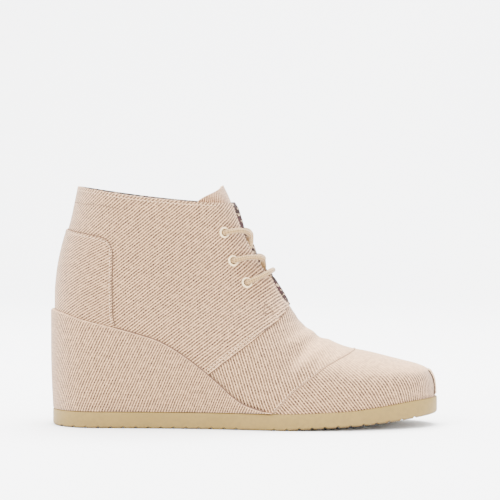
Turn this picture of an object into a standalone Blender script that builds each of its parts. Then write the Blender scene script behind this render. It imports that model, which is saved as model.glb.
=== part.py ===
"""Wedge ankle boot for the right foot, as separate solids in one frame.

Metres, +Z up. The toe points along +X and the outer side of the foot faces -Y.
The boot stands on Z = 0 and the origin is under the middle of its outline.

The upper follows ribs, numbered from above the collar to the toe. In the side view
a rib is a straight line from its foot (on the heel's back line, then on the edge of
the bed) to its crest (on the front of the shaft, then on the ridge of the vamp).
"""
import math

import bmesh
import bpy
import numpy as np
from mathutils import Vector

MM = 0.001

# Main sizes
LENGTH = 240 * MM
HEEL_HEIGHT = 72 * MM
COLLAR_HEIGHT = 76 * MM
INSTEP_RISE = 40 * MM
HEEL_WIDTH = 60 * MM
BALL_WIDTH = 84 * MM
COLLAR_WIDTH = 66 * MM
TOE_SWING = 5 * MM

# Walls and clearances
WALL = 1.8 * MM
QUARTER_STEP = 0.9 * MM
OVERLAY_THICKNESS = 0.8 * MM
TONGUE_THICKNESS = 1.8 * MM
INSOLE_THICKNESS = 2.5 * MM
GAP = 0.3 * MM
INSOLE_CLEARANCE = 2.0 * MM
INSOLE_LIFT = 0.4 * MM
OVERLAY_GAP = 0.4 * MM

# Sole and wedge
SOLE_THICKNESS = 10 * MM
TOE_RISE = 7.8 * MM
TOE_SPRING = 7.8 * MM
SOLE_EDGE_ROUND = 1.6 * MM
HEEL_INSET = 4.4 * MM
TOE_INSET = 1.3 * MM
WEDGE_SWELL = 1.2 * MM
WEDGE_ROUND = 1.4 * MM
TREAD_PITCH = 7.7 * MM
TREAD_WIDTH = 1.5 * MM
TREAD_DEPTH = 1.1 * MM

# Trim
EYELET_FLANGE_RADIUS = 3.5 * MM
EYELET_HOLE_RADIUS = 2.0 * MM
EYELET_TUBE_WALL = 0.35 * MM
EYELET_FLANGE_HEIGHT = 0.9 * MM
LACE_RADIUS = 1.6 * MM
EYELET_EDGE_ROUND = 0.4 * MM
TOE_STRIP_WIDTH = 15 * MM
TOE_STRIP_TOP = 33.5 * MM
THROAT_WIDTH = 25.2 * MM
TONGUE_WIDTH = 48 * MM
LACE_ROOM = 4.4 * MM
EYELET_SETBACK = 25.5 * MM

# Places along the boot, in shares of its length
WEDGE_TIP_ALONG = 0.5583
TREAD_START_ALONG = 0.0417
SHANK_PLAIN_ALONG = (0.4958, 0.5625)
TOE_STRIP_BACK_ALONG = 0.925

# How many points and rows the forms have
WEDGE_STATIONS = 52
SOLE_STATIONS = 44
TONGUE_ROWS = 14
TONGUE_COLUMNS = 9
EYELET_STEPS = 12
HOLE_STEPS = 16
LACE_POINTS = 14

# How far cutters and guide forms reach past what they cut
SKIRT = 4 * MM
CUT_REACH = 12 * MM
THROAT_DEPTH = 16 * MM
THROAT_REACH = 9 * MM
NORMAL_STEP = 0.004
NEARLY_NOTHING = 0.1 * MM
WELD = 0.02 * MM


def table(columns, *rows):
    """Rows of numbers as named columns."""
    return dict(zip(columns.split(), np.array(rows, dtype=float).T))


# Bed of the foot, along the boot: its drop from heel height (1) to the sole's top (0)
BED = table(
    "along drop",
    (0.000, 1.000), (0.042, 0.968), (0.083, 0.919), (0.125, 0.879), (0.183, 0.823),
    (0.229, 0.774), (0.283, 0.710), (0.329, 0.621), (0.367, 0.524), (0.408, 0.403),
    (0.448, 0.274), (0.483, 0.153), (0.513, 0.081), (0.550, 0.032), (0.580, 0.008),
    (0.610, 0.000), (1.000, 0.000),
)

# Toe of the sole: how far its top and its underside have risen
TOE = table(
    "along top under",
    (0.00, 0.00, 0.00),
    (0.60, 0.00, 0.00),
    (0.65, 0.03, 0.08),
    (0.71, 0.11, 0.19),
    (0.775, 0.21, 0.29),
    (0.83, 0.40, 0.43),
    (0.89, 0.66, 0.61),
    (0.945, 0.89, 0.81),
    (1.00, 1.00, 1.00),
)

# Outline of the foot, along the last: from heel width (0) to ball width (1)
PLAN = table(
    "along lateral medial",
    (0.00, 0.00, 0.00),
    (0.12, 0.00, 0.00),
    (0.25, 0.02, -0.10),
    (0.40, 0.20, -0.20),
    (0.52, 0.62, 0.20),
    (0.62, 0.93, 0.65),
    (0.70, 1.00, 0.93),
    (0.78, 1.00, 1.00),
    (1.00, 1.00, 1.00),
)
HEEL_ROUND_END = 0.12
TOE_ROUND_START = 0.66
HEEL_ROUNDNESS = 2.15
TOE_ROUNDNESS = 2.05
SWING_START = 0.42

# How far the sole stands out around the upper's foot line, in shares of HEEL_INSET
LEDGE = table(
    "along sole",
    (0.00, 0.73),
    (0.12, 0.60),
    (0.30, 0.45),
    (0.45, 0.36),
    (0.57, 0.295),
    (1.00, 0.295),
)

# Ribs of the shaft. Foot and crest along the last, lift of the foot in collar heights,
# rise of the crest over the foot in instep rises, half widths in half collar widths
SHAFT = table(
    "foot lift crest rise lateral medial widest front_round back_round slope follow dip",
    (0.0687, 1.158, 0.4486, -0.250, 1.02, 0.99, 0.46, 2.2, 2.2, 2.2, 0.00, 0.026),
    (0.0576, 1.000, 0.4720, -0.262, 1.01, 0.98, 0.45, 2.2, 2.2, 2.2, 0.00, 0.026),
    (0.0384, 0.724, 0.4904, -0.050, 0.96, 0.93, 0.43, 2.1, 2.25, 2.25, 0.15, 0.012),
    (0.0175, 0.500, 0.5105, 0.100, 0.93, 0.90, 0.42, 2.1, 2.35, 2.35, 0.40, 0.000),
    (0.0051, 0.303, 0.5318, 0.250, 0.92, 0.90, 0.41, 2.0, 2.5, 2.5, 0.70, 0.000),
    (0.0004, 0.138, 0.5502, 0.400, 0.92, 0.91, 0.40, 2.0, 2.7, 2.7, 0.90, 0.000),
    (0.0000, 0.000, 0.5689, 0.500, 0.92, 0.91, 0.38, 2.0, 2.85, 2.85, 1.00, 0.000),
)

# Ribs of the vamp. Fullness is the half width over the outline's, where the rib is widest
VAMP = table(
    "foot crest rise fullness widest front_round back_round slope follow",
    (0.0410, 0.5873, 0.383, 1.02, 0.33, 2.0, 2.6, 2.5, 1.0),
    (0.1178, 0.6043, 0.318, 1.03, 0.28, 2.0, 2.3, 2.0, 1.0),
    (0.2032, 0.6206, 0.318, 1.04, 0.24, 2.0, 2.1, 1.5, 0.8),
    (0.2885, 0.6342, 0.358, 1.04, 0.21, 2.0, 2.0, 1.2, 0.4),
    (0.3739, 0.6556, 0.530, 1.03, 0.19, 2.0, 2.0, 1.0, 0.0),
    (0.4592, 0.6855, 0.820, 1.01, 0.18, 2.0, 2.0, 1.0, 0.0),
    (0.5446, 0.7239, 1.000, 1.01, 0.18, 2.1, 2.0, 1.0, 0.0),
    (0.6214, 0.7708, 0.943, 1.01, 0.17, 2.2, 2.0, 1.0, 0.0),
    (0.6982, 0.8220, 0.858, 1.01, 0.16, 2.2, 2.0, 1.0, 0.0),
    (0.7751, 0.8690, 0.765, 1.02, 0.15, 2.3, 2.0, 1.0, 0.0),
    (0.8476, 0.9138, 0.648, 1.03, 0.15, 2.4, 2.0, 1.0, 0.0),
    (0.9117, 0.9565, 0.528, 1.03, 0.15, 2.4, 2.0, 1.0, 0.0),
    (0.9607, 0.9842, 0.405, 1.03, 0.15, 2.3, 2.0, 1.0, 0.0),
    (0.9906, 0.9974, 0.222, 1.03, 0.15, 2.2, 2.0, 1.0, 0.0),
    (1.0000, 1.0000, 0.000, 1.00, 0.15, 2.2, 2.0, 1.0, 0.0),
)
ABOVE_COLLAR_RIB = 0
COLLAR_RIB = 1
HEEL_RIB = len(SHAFT["foot"]) - 1
LAST_RIB = HEEL_RIB + len(VAMP["foot"])
FRONT_TURNS = 9
BACK_TURNS = 6
FRONT_SHARE = 0.6
CREST_HALF = 0.9

# Throat, along the crest: its opening at each rib, in throat widths
THROAT = table(
    "rib opening",
    (0.30, 1.27),
    (1.00, 1.00),
    (1.25, 0.79),
    (1.70, 0.73),
    (3.00, 0.63),
    (5.00, 0.52),
    (7.50, 0.43),
    (8.20, 0.365),
    (8.45, 0.24),
)

# Tongue, along the crest: its width in tongue widths, and how far it lies below the
# quarters' lining in shares of the room for the lace
TONGUE = table(
    "rib width sink",
    (0.02, 0.66, 0.07),
    (0.60, 0.875, 0.07),
    (1.00, 0.94, 0.09),
    (1.60, 0.98, 0.36),
    (2.30, 1.00, 0.955),
    (3.60, 1.00, 1.00),
    (5.00, 0.98, 1.00),
    (6.40, 0.94, 1.00),
    (7.60, 0.875, 0.73),
    (8.80, 0.79, 0.23),
    (9.80, 0.71, 0.00),
    (10.6, 0.625, 0.00),
)
TONGUE_TIP_ROUND = 0.7

# Eyelets from the top down: rib and distance from the crest in setbacks
EYELETS = table(
    "rib from_crest",
    (2.45, 0.941),
    (4.20, 1.000),
    (6.28, 1.000),
)

# Lace routes over the tongue: rib, setbacks from the crest and lift off the skin in
# cord radii. The crossings are drawn once and mirrored
LACE_BAR = table(
    "rib aside lift",
    (6.28, -1.000, 2.00),
    (6.22, -0.922, 2.62),
    (6.08, -0.667, 2.75),
    (5.92, -0.353, 2.69),
    (5.84, 0.000, 2.62),
    (5.92, 0.353, 2.69),
    (6.08, 0.667, 2.75),
    (6.22, 0.922, 2.62),
    (6.28, 1.000, 2.00),
)
LOWER_CROSSING = table(
    "rib aside lift",
    (4.20, -1.000, 2.00),
    (4.16, -0.922, 2.69),
    (4.10, -0.667, 2.81),
    (4.12, -0.392, 3.38),
    (4.40, -0.196, 2.87),
    (4.85, -0.047, 0.25),
    (5.15, 0.176, -2.44),
    (5.55, 0.471, -2.56),
)
UPPER_CROSSING = table(
    "rib aside lift",
    (2.45, -0.941, 2.00),
    (2.42, -0.863, 2.69),
    (2.40, -0.627, 3.00),
    (2.45, -0.412, 3.50),
    (2.70, -0.216, 2.75),
    (3.05, -0.047, 0.25),
    (3.40, 0.196, -2.44),
    (3.80, 0.490, -2.56),
)

# Quarter's lower edge in the side view, from the wedge to the throat's corner
QUARTER_EDGE = table(
    "along height",
    (0.300, 0.00),
    (0.355, 0.13),
    (0.412, 0.215),
    (0.514, 0.342),
    (0.589, 0.437),
    (0.614, 0.485),
    (0.626, 0.515),
    (0.760, 0.700),
)

# Heel counter in the side view, from the back round its front corner and down
COUNTER_EDGE = table(
    "along height",
    (-0.100, 0.832),
    (0.037, 0.811),
    (0.130, 0.791),
    (0.160, 0.776),
    (0.173, 0.752),
    (0.1755, 0.713),
    (0.1735, 0.580),
    (0.176, 0.465),
    (0.186, 0.380),
    (0.190, 0.250),
    (-0.100, 0.250),
)
BOOT_HEIGHT = HEEL_HEIGHT + COLLAR_HEIGHT

COLOURS = {
    "upper_fabric": ((0.72, 0.56, 0.44), 0.9, 0.0),
    "wedge_fabric": ((0.70, 0.54, 0.42), 0.9, 0.0),
    "sole_rubber": ((0.55, 0.43, 0.26), 0.6, 0.0),
    "insole_fabric": ((0.35, 0.22, 0.17), 0.9, 0.0),
    "eyelet_paint": ((0.84, 0.75, 0.62), 0.4, 0.0),
    "lace_cord": ((0.73, 0.58, 0.38), 0.85, 0.0),
}


def smooth(knots, values, at):
    """Read a curve through the knots that never overshoots them."""
    steps = np.diff(knots)
    slopes = np.diff(values) / steps
    tangents = np.zeros(len(knots))
    tangents[0] = slopes[0]
    tangents[-1] = slopes[-1]
    for i in range(1, len(slopes)):
        if slopes[i - 1] * slopes[i] > 0:
            tangents[i] = 2 * slopes[i - 1] * slopes[i] / (slopes[i - 1] + slopes[i])
    at = np.clip(at, knots[0], knots[-1])
    i = np.clip(np.searchsorted(knots, at, side="right") - 1, 0, len(steps) - 1)
    t = (at - knots[i]) / steps[i]
    start = values[i] * (1 + 2 * t) * (1 - t) ** 2 + tangents[i] * steps[i] * t * (1 - t) ** 2
    end = values[i + 1] * t ** 2 * (3 - 2 * t) + tangents[i + 1] * steps[i] * t ** 2 * (t - 1)
    return start + end


def last_x(share):
    """Place along the last, from the heel's back (0) to the tip of the toe (1)."""
    return HEEL_INSET + share * (LENGTH - HEEL_INSET - TOE_INSET)


def sole_top(x):
    return SOLE_THICKNESS + TOE_RISE * smooth(TOE["along"], TOE["top"], x / LENGTH)


def sole_under(x):
    return TOE_SPRING * smooth(TOE["along"], TOE["under"], x / LENGTH)


def bed(x):
    """Height of the bed that the upper stands on."""
    drop = smooth(BED["along"], BED["drop"], x / LENGTH)
    return sole_top(x) + (HEEL_HEIGHT - SOLE_THICKNESS) * drop


def centre(x):
    """Middle of the last, which leans to the inner side at the toe."""
    share = np.clip((x / LENGTH - SWING_START) / (1 - SWING_START), 0, None)
    return TOE_SWING * share ** 2


def outline(x, side):
    """Half width of the upper's foot line on one side, from the last's middle."""
    along = np.clip((x - last_x(0)) / (last_x(1) - last_x(0)), 0, 1)
    spread = smooth(PLAN["along"], PLAN[side], along)
    half = (HEEL_WIDTH + (BALL_WIDTH - HEEL_WIDTH) * spread) / 2
    heel = np.clip(1 - along / HEEL_ROUND_END, 0, 1)
    toe = np.clip((along - TOE_ROUND_START) / (1 - TOE_ROUND_START), 0, 1)
    half = half * (1 - heel ** HEEL_ROUNDNESS) ** (1 / HEEL_ROUNDNESS)
    return half * (1 - toe ** TOE_ROUNDNESS) ** (1 / TOE_ROUNDNESS)


def rib_column(name):
    """One column of both rib tables as a value for each rib."""
    return np.concatenate((SHAFT[name], VAMP[name]))


def ribs(place):
    """Foot, crest and widths of the ribs at the given places."""
    numbers = np.arange(LAST_RIB + 1.0)
    bare = np.zeros(len(VAMP["foot"]))

    def read(values):
        return smooth(numbers, values, place)

    rib = {name: read(rib_column(name)) for name in
           ("widest", "front_round", "back_round", "slope", "follow")}
    rib["dip"] = read(np.concatenate((SHAFT["dip"], bare))) * COLLAR_HEIGHT
    lift = read(np.concatenate((SHAFT["lift"], bare)))
    rib["foot_x"] = last_x(read(rib_column("foot")))
    on_vamp = place > HEEL_RIB
    stands_on = np.where(on_vamp, rib["foot_x"], last_x(0))
    rib["foot_z"] = bed(stands_on) + GAP + lift * COLLAR_HEIGHT
    rib["crest_x"] = last_x(read(rib_column("crest")))
    rib["crest_z"] = rib["foot_z"] + read(rib_column("rise")) * INSTEP_RISE
    widest_x = rib["foot_x"] + rib["widest"] * (rib["crest_x"] - rib["foot_x"])
    rib["set_back"] = np.where(on_vamp, 0, rib["foot_x"] - last_x(0))
    for side in ("lateral", "medial"):
        heel_half = SHAFT[side][-1] * COLLAR_WIDTH / 2
        heel_x = last_x(0) + SHAFT["widest"][-1] * (last_x(SHAFT["crest"][-1]) - last_x(0))
        heel_fullness = np.full(len(SHAFT["foot"]), heel_half / outline(heel_x, side))
        fullness = read(np.concatenate((heel_fullness, VAMP["fullness"])))
        shaft_half = smooth(numbers[:HEEL_RIB + 1], SHAFT[side], place) * COLLAR_WIDTH / 2
        rib[side] = np.where(on_vamp, fullness * outline(widest_x, side), shaft_half)
        rib[side + "_foot"] = np.where(on_vamp, outline(rib["foot_x"], side), 0)
        last_half = np.maximum(outline(widest_x - rib["set_back"], side), NEARLY_NOTHING)
        rib[side + "_full"] = rib[side] / last_half
    return rib


def skin(place, turn):
    """Points of the upper's base skin. Turn runs from -1, the outer foot line, over the
    crest at 0 to 1, the inner foot line."""
    place, turn = np.broadcast_arrays(np.asarray(place, float), np.asarray(turn, float))
    rib = ribs(place)
    outer = turn < 0
    width = np.where(outer, rib["lateral"], rib["medial"])
    foot = np.where(outer, rib["lateral_foot"], rib["medial_foot"])
    away = np.abs(turn)
    theta = math.pi / 2 * np.clip(1 - away / FRONT_SHARE, 0, 1)
    psi = math.pi / 2 * np.clip((away - FRONT_SHARE) / (1 - FRONT_SHARE), 0, 1)
    in_front = away <= FRONT_SHARE
    power = 2 / rib["front_round"]
    along_front = rib["widest"] + (1 - rib["widest"]) * np.sin(theta) ** power
    out_front = width * np.cos(theta) ** power
    along_back = rib["widest"] * (1 - np.sin(psi) ** (2 / rib["back_round"]))
    along = np.where(in_front, along_front, along_back)
    x = rib["foot_x"] + along * (rib["crest_x"] - rib["foot_x"])
    free = foot + (width - foot) * np.abs(np.cos(psi)) ** (2 / rib["slope"])
    at = x - rib["set_back"]
    followed = np.where(outer, outline(at, "lateral"), outline(at, "medial"))
    full = np.where(outer, rib["lateral_full"], rib["medial_full"])
    followed = followed * (1 + (full - 1) * np.cos(psi))
    out_back = free + rib["follow"] * (followed - free)
    out = np.where(in_front, out_front, out_back)
    z = rib["foot_z"] + along * (rib["crest_z"] - rib["foot_z"])
    z = z - rib["dip"] * 4 * along * (1 - along)
    y = np.where(outer, -out, out) + centre(x)
    return np.stack((x, y, z), axis=-1)


def skin_normal(place, turn):
    """Outward direction of the base skin away from its foot line."""
    along = skin(place + NORMAL_STEP, turn) - skin(place - NORMAL_STEP, turn)
    around = skin(place, turn + NORMAL_STEP) - skin(place, turn - NORMAL_STEP)
    normal = np.cross(along, around)
    return normal / np.linalg.norm(normal, axis=-1, keepdims=True)


def running_length(line):
    """Length along a line of points, at each of them."""
    steps = np.linalg.norm(np.diff(line, axis=0), axis=1)
    return np.concatenate(((0,), np.cumsum(steps)))


def across(place, distance, lift):
    """Point at a signed distance from the crest, measured round its rib, and lifted off
    the skin. Distances to the outer side are negative."""
    side = -1 if distance < 0 else 1
    turns = np.linspace(0, CREST_HALF, 46)
    turn = side * np.interp(abs(distance), running_length(skin(place, side * turns)), turns)
    normal = skin_normal(place, turn)
    return skin(place, turn) + lift * normal, normal


def rib_places(first, last):
    """Places of the ribs that a form is lofted through."""
    places = [first]
    for number in range(int(first) + 1, last + 1):
        tight = number > LAST_RIB - 3 or COLLAR_RIB + 1 < number <= HEEL_RIB + 2
        if tight and number - 0.5 > first:
            places.append(number - 0.5)
        places.append(number)
    return np.array(places, dtype=float)


def loft_turns():
    """Turns of the points along a rib, closer together where it is round."""
    back = np.linspace(1, FRONT_SHARE, BACK_TURNS + 1)[:-1]
    front = np.linspace(FRONT_SHARE, 0, FRONT_TURNS + 1)
    half = np.concatenate((back, front))
    return np.concatenate((-half, half[-2::-1]))


def form_points(offset, first, last):
    """Grid of the skin's points, moved out by the offset."""
    places = rib_places(first, last)
    points = skin(places[:, None], loft_turns()[None, :])
    normals = np.zeros_like(points)
    faces = np.cross(points[1:, 1:] - points[:-1, :-1], points[:-1, 1:] - points[1:, :-1])
    for rows in (slice(0, -1), slice(1, None)):
        for columns in (slice(0, -1), slice(1, None)):
            normals[rows, columns] += faces
    closed = places <= HEEL_RIB
    seam = normals[closed, 0] + normals[closed, -1]
    normals[closed, 0] = seam
    normals[closed, -1] = seam
    normals[0, :, 2] = 0
    normals[~closed, 0, 2] = 0
    normals[~closed, -1, 2] = 0
    if last == LAST_RIB:
        normals[-1] = (1, 0, 0)
    normals /= np.linalg.norm(normals, axis=-1, keepdims=True)
    return places, points + offset * normals


def form_sheet(bm, places, points, skirt):
    """A form's skin, with its foot line drawn down by the skirt: its points and feet."""
    grid = [[bm.verts.new(point) for point in row] for row in points]
    feet = {}
    for i in range(int(np.argmax(places >= HEEL_RIB)), len(grid)):
        feet[i] = [bm.verts.new(points[i, j] - np.array((0, 0, skirt))) for j in (0, -1)]
    for i in range(len(grid) - 1):
        for j in range(len(grid[0]) - 1):
            bm.faces.new((grid[i][j], grid[i + 1][j], grid[i + 1][j + 1], grid[i][j + 1]))
        if i in feet:
            bm.faces.new((feet[i][0], feet[i + 1][0], grid[i + 1][0], grid[i][0]))
            bm.faces.new((feet[i + 1][1], feet[i][1], grid[i][-1], grid[i + 1][-1]))
    return grid, feet


def form_mesh(offset, skirt, first):
    """Closed solid of the last from a rib to the toe, moved out by the offset."""
    places, points = form_points(offset, first, LAST_RIB)
    bm = bmesh.new()
    grid, feet = form_sheet(bm, places, points, skirt)
    for i in sorted(feet)[:-1]:
        bm.faces.new((feet[i + 1][0], feet[i][0], feet[i][1], feet[i + 1][1]))
    cap_rib(bm, grid[0])
    bmesh.ops.triangulate(bm, faces=bm.faces, quad_method="FIXED")
    return finished(bm)


def sheet_mesh(start, first, last):
    """Closed sheet on the last between two ribs, as thick as an overlay."""
    places, inner = form_points(start, first, last)
    outer = form_points(start + OVERLAY_THICKNESS, first, last)[1]
    bm = bmesh.new()
    below, below_feet = form_sheet(bm, places, inner, SKIRT)
    above, above_feet = form_sheet(bm, places, outer, SKIRT)
    for i in sorted(below_feet)[:-1]:
        for j in (0, 1):
            bm.faces.new((below_feet[i][j], below_feet[i + 1][j], above_feet[i + 1][j], above_feet[i][j]))
    for i in [0] if last == LAST_RIB else [0, len(below) - 1]:
        low, high = below[i], above[i]
        if places[i] > HEEL_RIB:
            low = [below_feet[i][0]] + low + [below_feet[i][1]]
            high = [above_feet[i][0]] + high + [above_feet[i][1]]
        for j in range(len(low) - 1):
            bm.faces.new((low[j], low[j + 1], high[j + 1], high[j]))
    bmesh.ops.triangulate(bm, faces=bm.faces, quad_method="FIXED")
    return finished(bm)


def cap_rib(bm, row):
    """Close a form across one rib, from its outer to its inner half."""
    for j in range(len(row) // 2):
        outer = row[j:j + 2]
        inner = row[len(row) - 2 - j:len(row) - j]
        bm.faces.new(dict.fromkeys((outer[0], outer[1], inner[0], inner[1])))


def finished(bm):
    """Weld a closed bmesh, turn its faces outwards and return it as a mesh."""
    bmesh.ops.remove_doubles(bm, verts=bm.verts, dist=WELD)
    bmesh.ops.dissolve_degenerate(bm, edges=bm.edges, dist=0.05 * WELD)
    bmesh.ops.recalc_face_normals(bm, faces=bm.faces)
    if bm.calc_volume(signed=True) < 0:
        bmesh.ops.reverse_faces(bm, faces=bm.faces)
    mesh = bpy.data.meshes.new("mesh")
    bm.to_mesh(mesh)
    bm.free()
    return mesh


def sole_line(stations, share_of_ledge, inset):
    """Loop around the boot: the outer side from heel to front, then the inner side back."""
    fine = last_x((1 - np.cos(math.pi * np.linspace(0, 1, 121))) / 2)
    loop = []
    for side, sign in (("lateral", -1), ("medial", 1)):
        y = sign * outline(fine, side) + centre(fine)
        line = np.stack((fine, y), axis=-1)
        beyond = -sign * MM
        ends = np.array(((fine[0], beyond), (fine[-1], centre(fine[-1]) + beyond)))
        padded = np.concatenate((ends[:1], line, ends[1:]))
        run = padded[2:] - padded[:-2]
        normal = np.stack((run[:, 1], -run[:, 0]), axis=-1) * -sign
        normal /= np.linalg.norm(normal, axis=1, keepdims=True)
        normal[0] = (-1, 0)
        normal[-1] = (1, 0)
        ledge = smooth(LEDGE["along"], LEDGE["sole"], fine / LENGTH) * HEEL_INSET
        moved = line + normal * (ledge * share_of_ledge - inset)[:, None]
        order = np.argsort(moved[:, 0], kind="stable")
        x = moved[order, 0]
        low, high = x[0], x[-1]
        reach = low + (high - low) * stations
        loop.append(np.stack((reach, np.interp(reach, x, moved[order, 1])), axis=-1))
    return loop[0], loop[1]


def stack_mesh(levels):
    """Solid through level loops. Each level is its outer and its inner line of points."""
    bm = bmesh.new()
    lines = [[[bm.verts.new(point) for point in line] for line in level] for level in levels]
    rings = [outer + inner[::-1] for outer, inner in lines]
    for lower, upper in zip(rings[:-1], rings[1:]):
        for i in range(len(lower)):
            j = (i + 1) % len(lower)
            bm.faces.new((lower[i], lower[j], upper[j], upper[i]))
    for outer, inner in (lines[0], lines[-1]):
        for i in range(len(outer) - 1):
            bm.faces.new((outer[i], outer[i + 1], inner[i + 1], inner[i]))
    return finished(bm)


def level(stations, inset, height, share_of_ledge=1.0):
    """One level of a stack: the sole line with an inset, at a height that follows x."""
    lines = []
    for line in sole_line(stations, share_of_ledge, inset):
        lines.append(np.column_stack((line, height(line[:, 0]))))
    return lines


def stations_to(front, count):
    """Stations along the sole line up to a share of it, closer together at round ends."""
    full = (1 - np.cos(math.pi * np.linspace(0, 1, count))) / 2
    if front >= 1:
        return full
    return np.concatenate((full[full < front - 0.01], (front,)))


def side_prism(name, edge, corners):
    """Cutter: a side-view outline drawn through the boot from side to side."""
    points = [(along * LENGTH, height * BOOT_HEIGHT) for along, height in
              zip(edge["along"], edge["height"])] + corners
    return drawn_through(name, points, BALL_WIDTH)


def drawn_through(name, points, reach):
    """Cutter: a side-view polygon extruded along Y to both sides."""
    bm = bmesh.new()
    verts = [bm.verts.new((x, -reach, z)) for x, z in points]
    face = bm.faces.new(verts)
    moved = bmesh.ops.extrude_face_region(bm, geom=[face])["geom"]
    far = [item for item in moved if isinstance(item, bmesh.types.BMVert)]
    bmesh.ops.translate(bm, verts=far, vec=(0, 2 * reach, 0))
    bmesh.ops.triangulate(bm, faces=[f for f in bm.faces if len(f.verts) > 4])
    return cutter(name, finished(bm))


def material(name):
    colour, roughness, metallic = COLOURS[name]
    made = bpy.data.materials.get(name) or bpy.data.materials.new(name)
    made.use_nodes = True
    shader = made.node_tree.nodes["Principled BSDF"]
    shader.inputs["Base Color"].default_value = (*colour, 1)
    shader.inputs["Roughness"].default_value = roughness
    shader.inputs["Metallic"].default_value = metallic
    return made


def piece(name, mesh, finish):
    """A sub-part, standing under the boot's empty."""
    obj = bpy.data.objects.new(name, mesh)
    mesh.name = name
    mesh.materials.clear()
    mesh.materials.append(material(finish))
    bpy.data.collections["ankle_boot"].objects.link(obj)
    obj.parent = bpy.data.objects["boot_frame"]
    return obj


def cutter(name, mesh):
    """A guide shape that only cuts or joins others."""
    obj = bpy.data.objects.new(name, mesh)
    bpy.data.collections["cutters"].objects.link(obj)
    obj.parent = bpy.data.objects["boot_frame"]
    obj.display_type = "WIRE"
    obj.hide_render = True
    return obj


def boolean(obj, operation, other):
    step = obj.modifiers.new(other.name, "BOOLEAN")
    step.operation = operation
    step.solver = "EXACT"
    step.object = other


def bed_cutter():
    """Everything below the bed, so that the upper stands GAP above it."""
    knots = np.concatenate(((-0.1,), BED["along"][:-1], TOE["along"][2:], (1.1,)))
    x = np.unique(knots) * LENGTH
    top = list(zip(x, bed(x) + GAP))
    below = -2 * SOLE_THICKNESS
    return drawn_through("below_bed", top + [(x[-1], below), (x[0], below)], BALL_WIDTH)


def throat_cutter():
    """The opening of the throat, as a loft of boxes along the crest."""
    bm = bmesh.new()
    rings = []
    for place in np.unique(np.concatenate((THROAT["rib"], np.arange(1.5, 8, 1.0)))):
        half = smooth(THROAT["rib"], THROAT["opening"], place) * THROAT_WIDTH / 2
        top = skin(place, 0.0)
        out = skin_normal(place, 0.0)
        ring = []
        corners = ((THROAT_REACH, -1), (THROAT_REACH, 1), (-THROAT_DEPTH, 1), (-THROAT_DEPTH, -1))
        for reach, side in corners:
            point = top + reach * out + np.array((0, side * half, 0))
            ring.append(bm.verts.new(point))
        rings.append(ring)
    bm.faces.new(rings[0])
    bm.faces.new(rings[-1])
    for one, two in zip(rings[:-1], rings[1:]):
        for i in range(4):
            j = (i + 1) % 4
            bm.faces.new((one[i], one[j], two[j], two[i]))
    return cutter("throat_opening", finished(bm))


def pointed(mesh, point, direction):
    """Turn a mesh's Z axis to a direction and move it to a point."""
    turn = Vector(direction).to_track_quat("Z", "Y").to_matrix().to_4x4()
    turn.translation = Vector(point)
    mesh.transform(turn)
    return mesh


def eyelet_places():
    """Name, point on the base skin and direction of each eyelet."""
    for side, sign in (("lateral", -1), ("medial", 1)):
        for number, (rib, distance) in enumerate(zip(EYELETS["rib"], EYELETS["from_crest"]), 1):
            point, normal = across(rib, sign * distance * EYELET_SETBACK, 0)
            yield "eyelet_%s_%d" % (side, number), point, normal


def eyelet_holes():
    bm = bmesh.new()
    for name, point, normal in eyelet_places():
        radius = EYELET_HOLE_RADIUS + EYELET_TUBE_WALL + GAP
        made = bmesh.ops.create_cone(bm, cap_ends=True, segments=HOLE_STEPS, depth=CUT_REACH,
                                     radius1=radius, radius2=radius)
        turn = Vector(normal).to_track_quat("Z", "Y").to_matrix().to_4x4()
        turn.translation = Vector(point)
        bmesh.ops.transform(bm, matrix=turn, verts=made["verts"])
    return cutter("eyelet_holes", finished(bm))


def make_eyelets():
    """Turned rings: a tube through the quarter with a rounded flange outside."""
    inner = EYELET_HOLE_RADIUS
    tube = inner + EYELET_TUBE_WALL
    under = QUARTER_STEP + GAP
    top = under + EYELET_FLANGE_HEIGHT
    edge = EYELET_EDGE_ROUND
    profile = ((tube, -WALL), (tube, under), (EYELET_FLANGE_RADIUS, under + edge / 2),
               (EYELET_FLANGE_RADIUS - edge, top), (inner + edge, top),
               (inner, under), (inner, -WALL))
    for name, point, normal in eyelet_places():
        bm = bmesh.new()
        verts = [bm.verts.new((radius, 0, z)) for radius, z in profile]
        edges = [bm.edges.new((verts[i - 1], verts[i])) for i in range(len(verts))]
        bmesh.ops.spin(bm, geom=verts + edges, cent=(0, 0, 0), axis=(0, 0, 1),
                       angle=2 * math.pi, steps=EYELET_STEPS, use_merge=True)
        piece(name, pointed(finished(bm), point, normal), "eyelet_paint")


def make_upper():
    quarters = form_mesh(QUARTER_STEP, SKIRT, COLLAR_RIB)
    upper = piece("upper", quarters, "upper_fabric")
    region = side_prism("quarter_region", QUARTER_EDGE,
                        [(1.2 * LENGTH, 0.8 * BOOT_HEIGHT), (1.2 * LENGTH, 1.4 * BOOT_HEIGHT),
                         (-0.2 * LENGTH, 1.4 * BOOT_HEIGHT), (-0.2 * LENGTH, -0.1 * BOOT_HEIGHT),
                         (0.25 * LENGTH, -0.1 * BOOT_HEIGHT)])
    boolean(upper, "INTERSECT", region)
    boolean(upper, "UNION", cutter("vamp_form", form_mesh(0, 1.25 * SKIRT, COLLAR_RIB + 2)))
    boolean(upper, "DIFFERENCE", cutter("hollow", form_mesh(-WALL, 2 * SKIRT, ABOVE_COLLAR_RIB)))
    boolean(upper, "DIFFERENCE", bed_cutter())
    boolean(upper, "DIFFERENCE", throat_cutter())
    boolean(upper, "DIFFERENCE", eyelet_holes())


def overlay(name, start, region, first, last):
    """Sheet on the skin, cut to a region and to the bed."""
    made = piece(name, sheet_mesh(start, first, last), "upper_fabric")
    boolean(made, "INTERSECT", region)
    boolean(made, "DIFFERENCE", bpy.data.objects["below_bed"])


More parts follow.
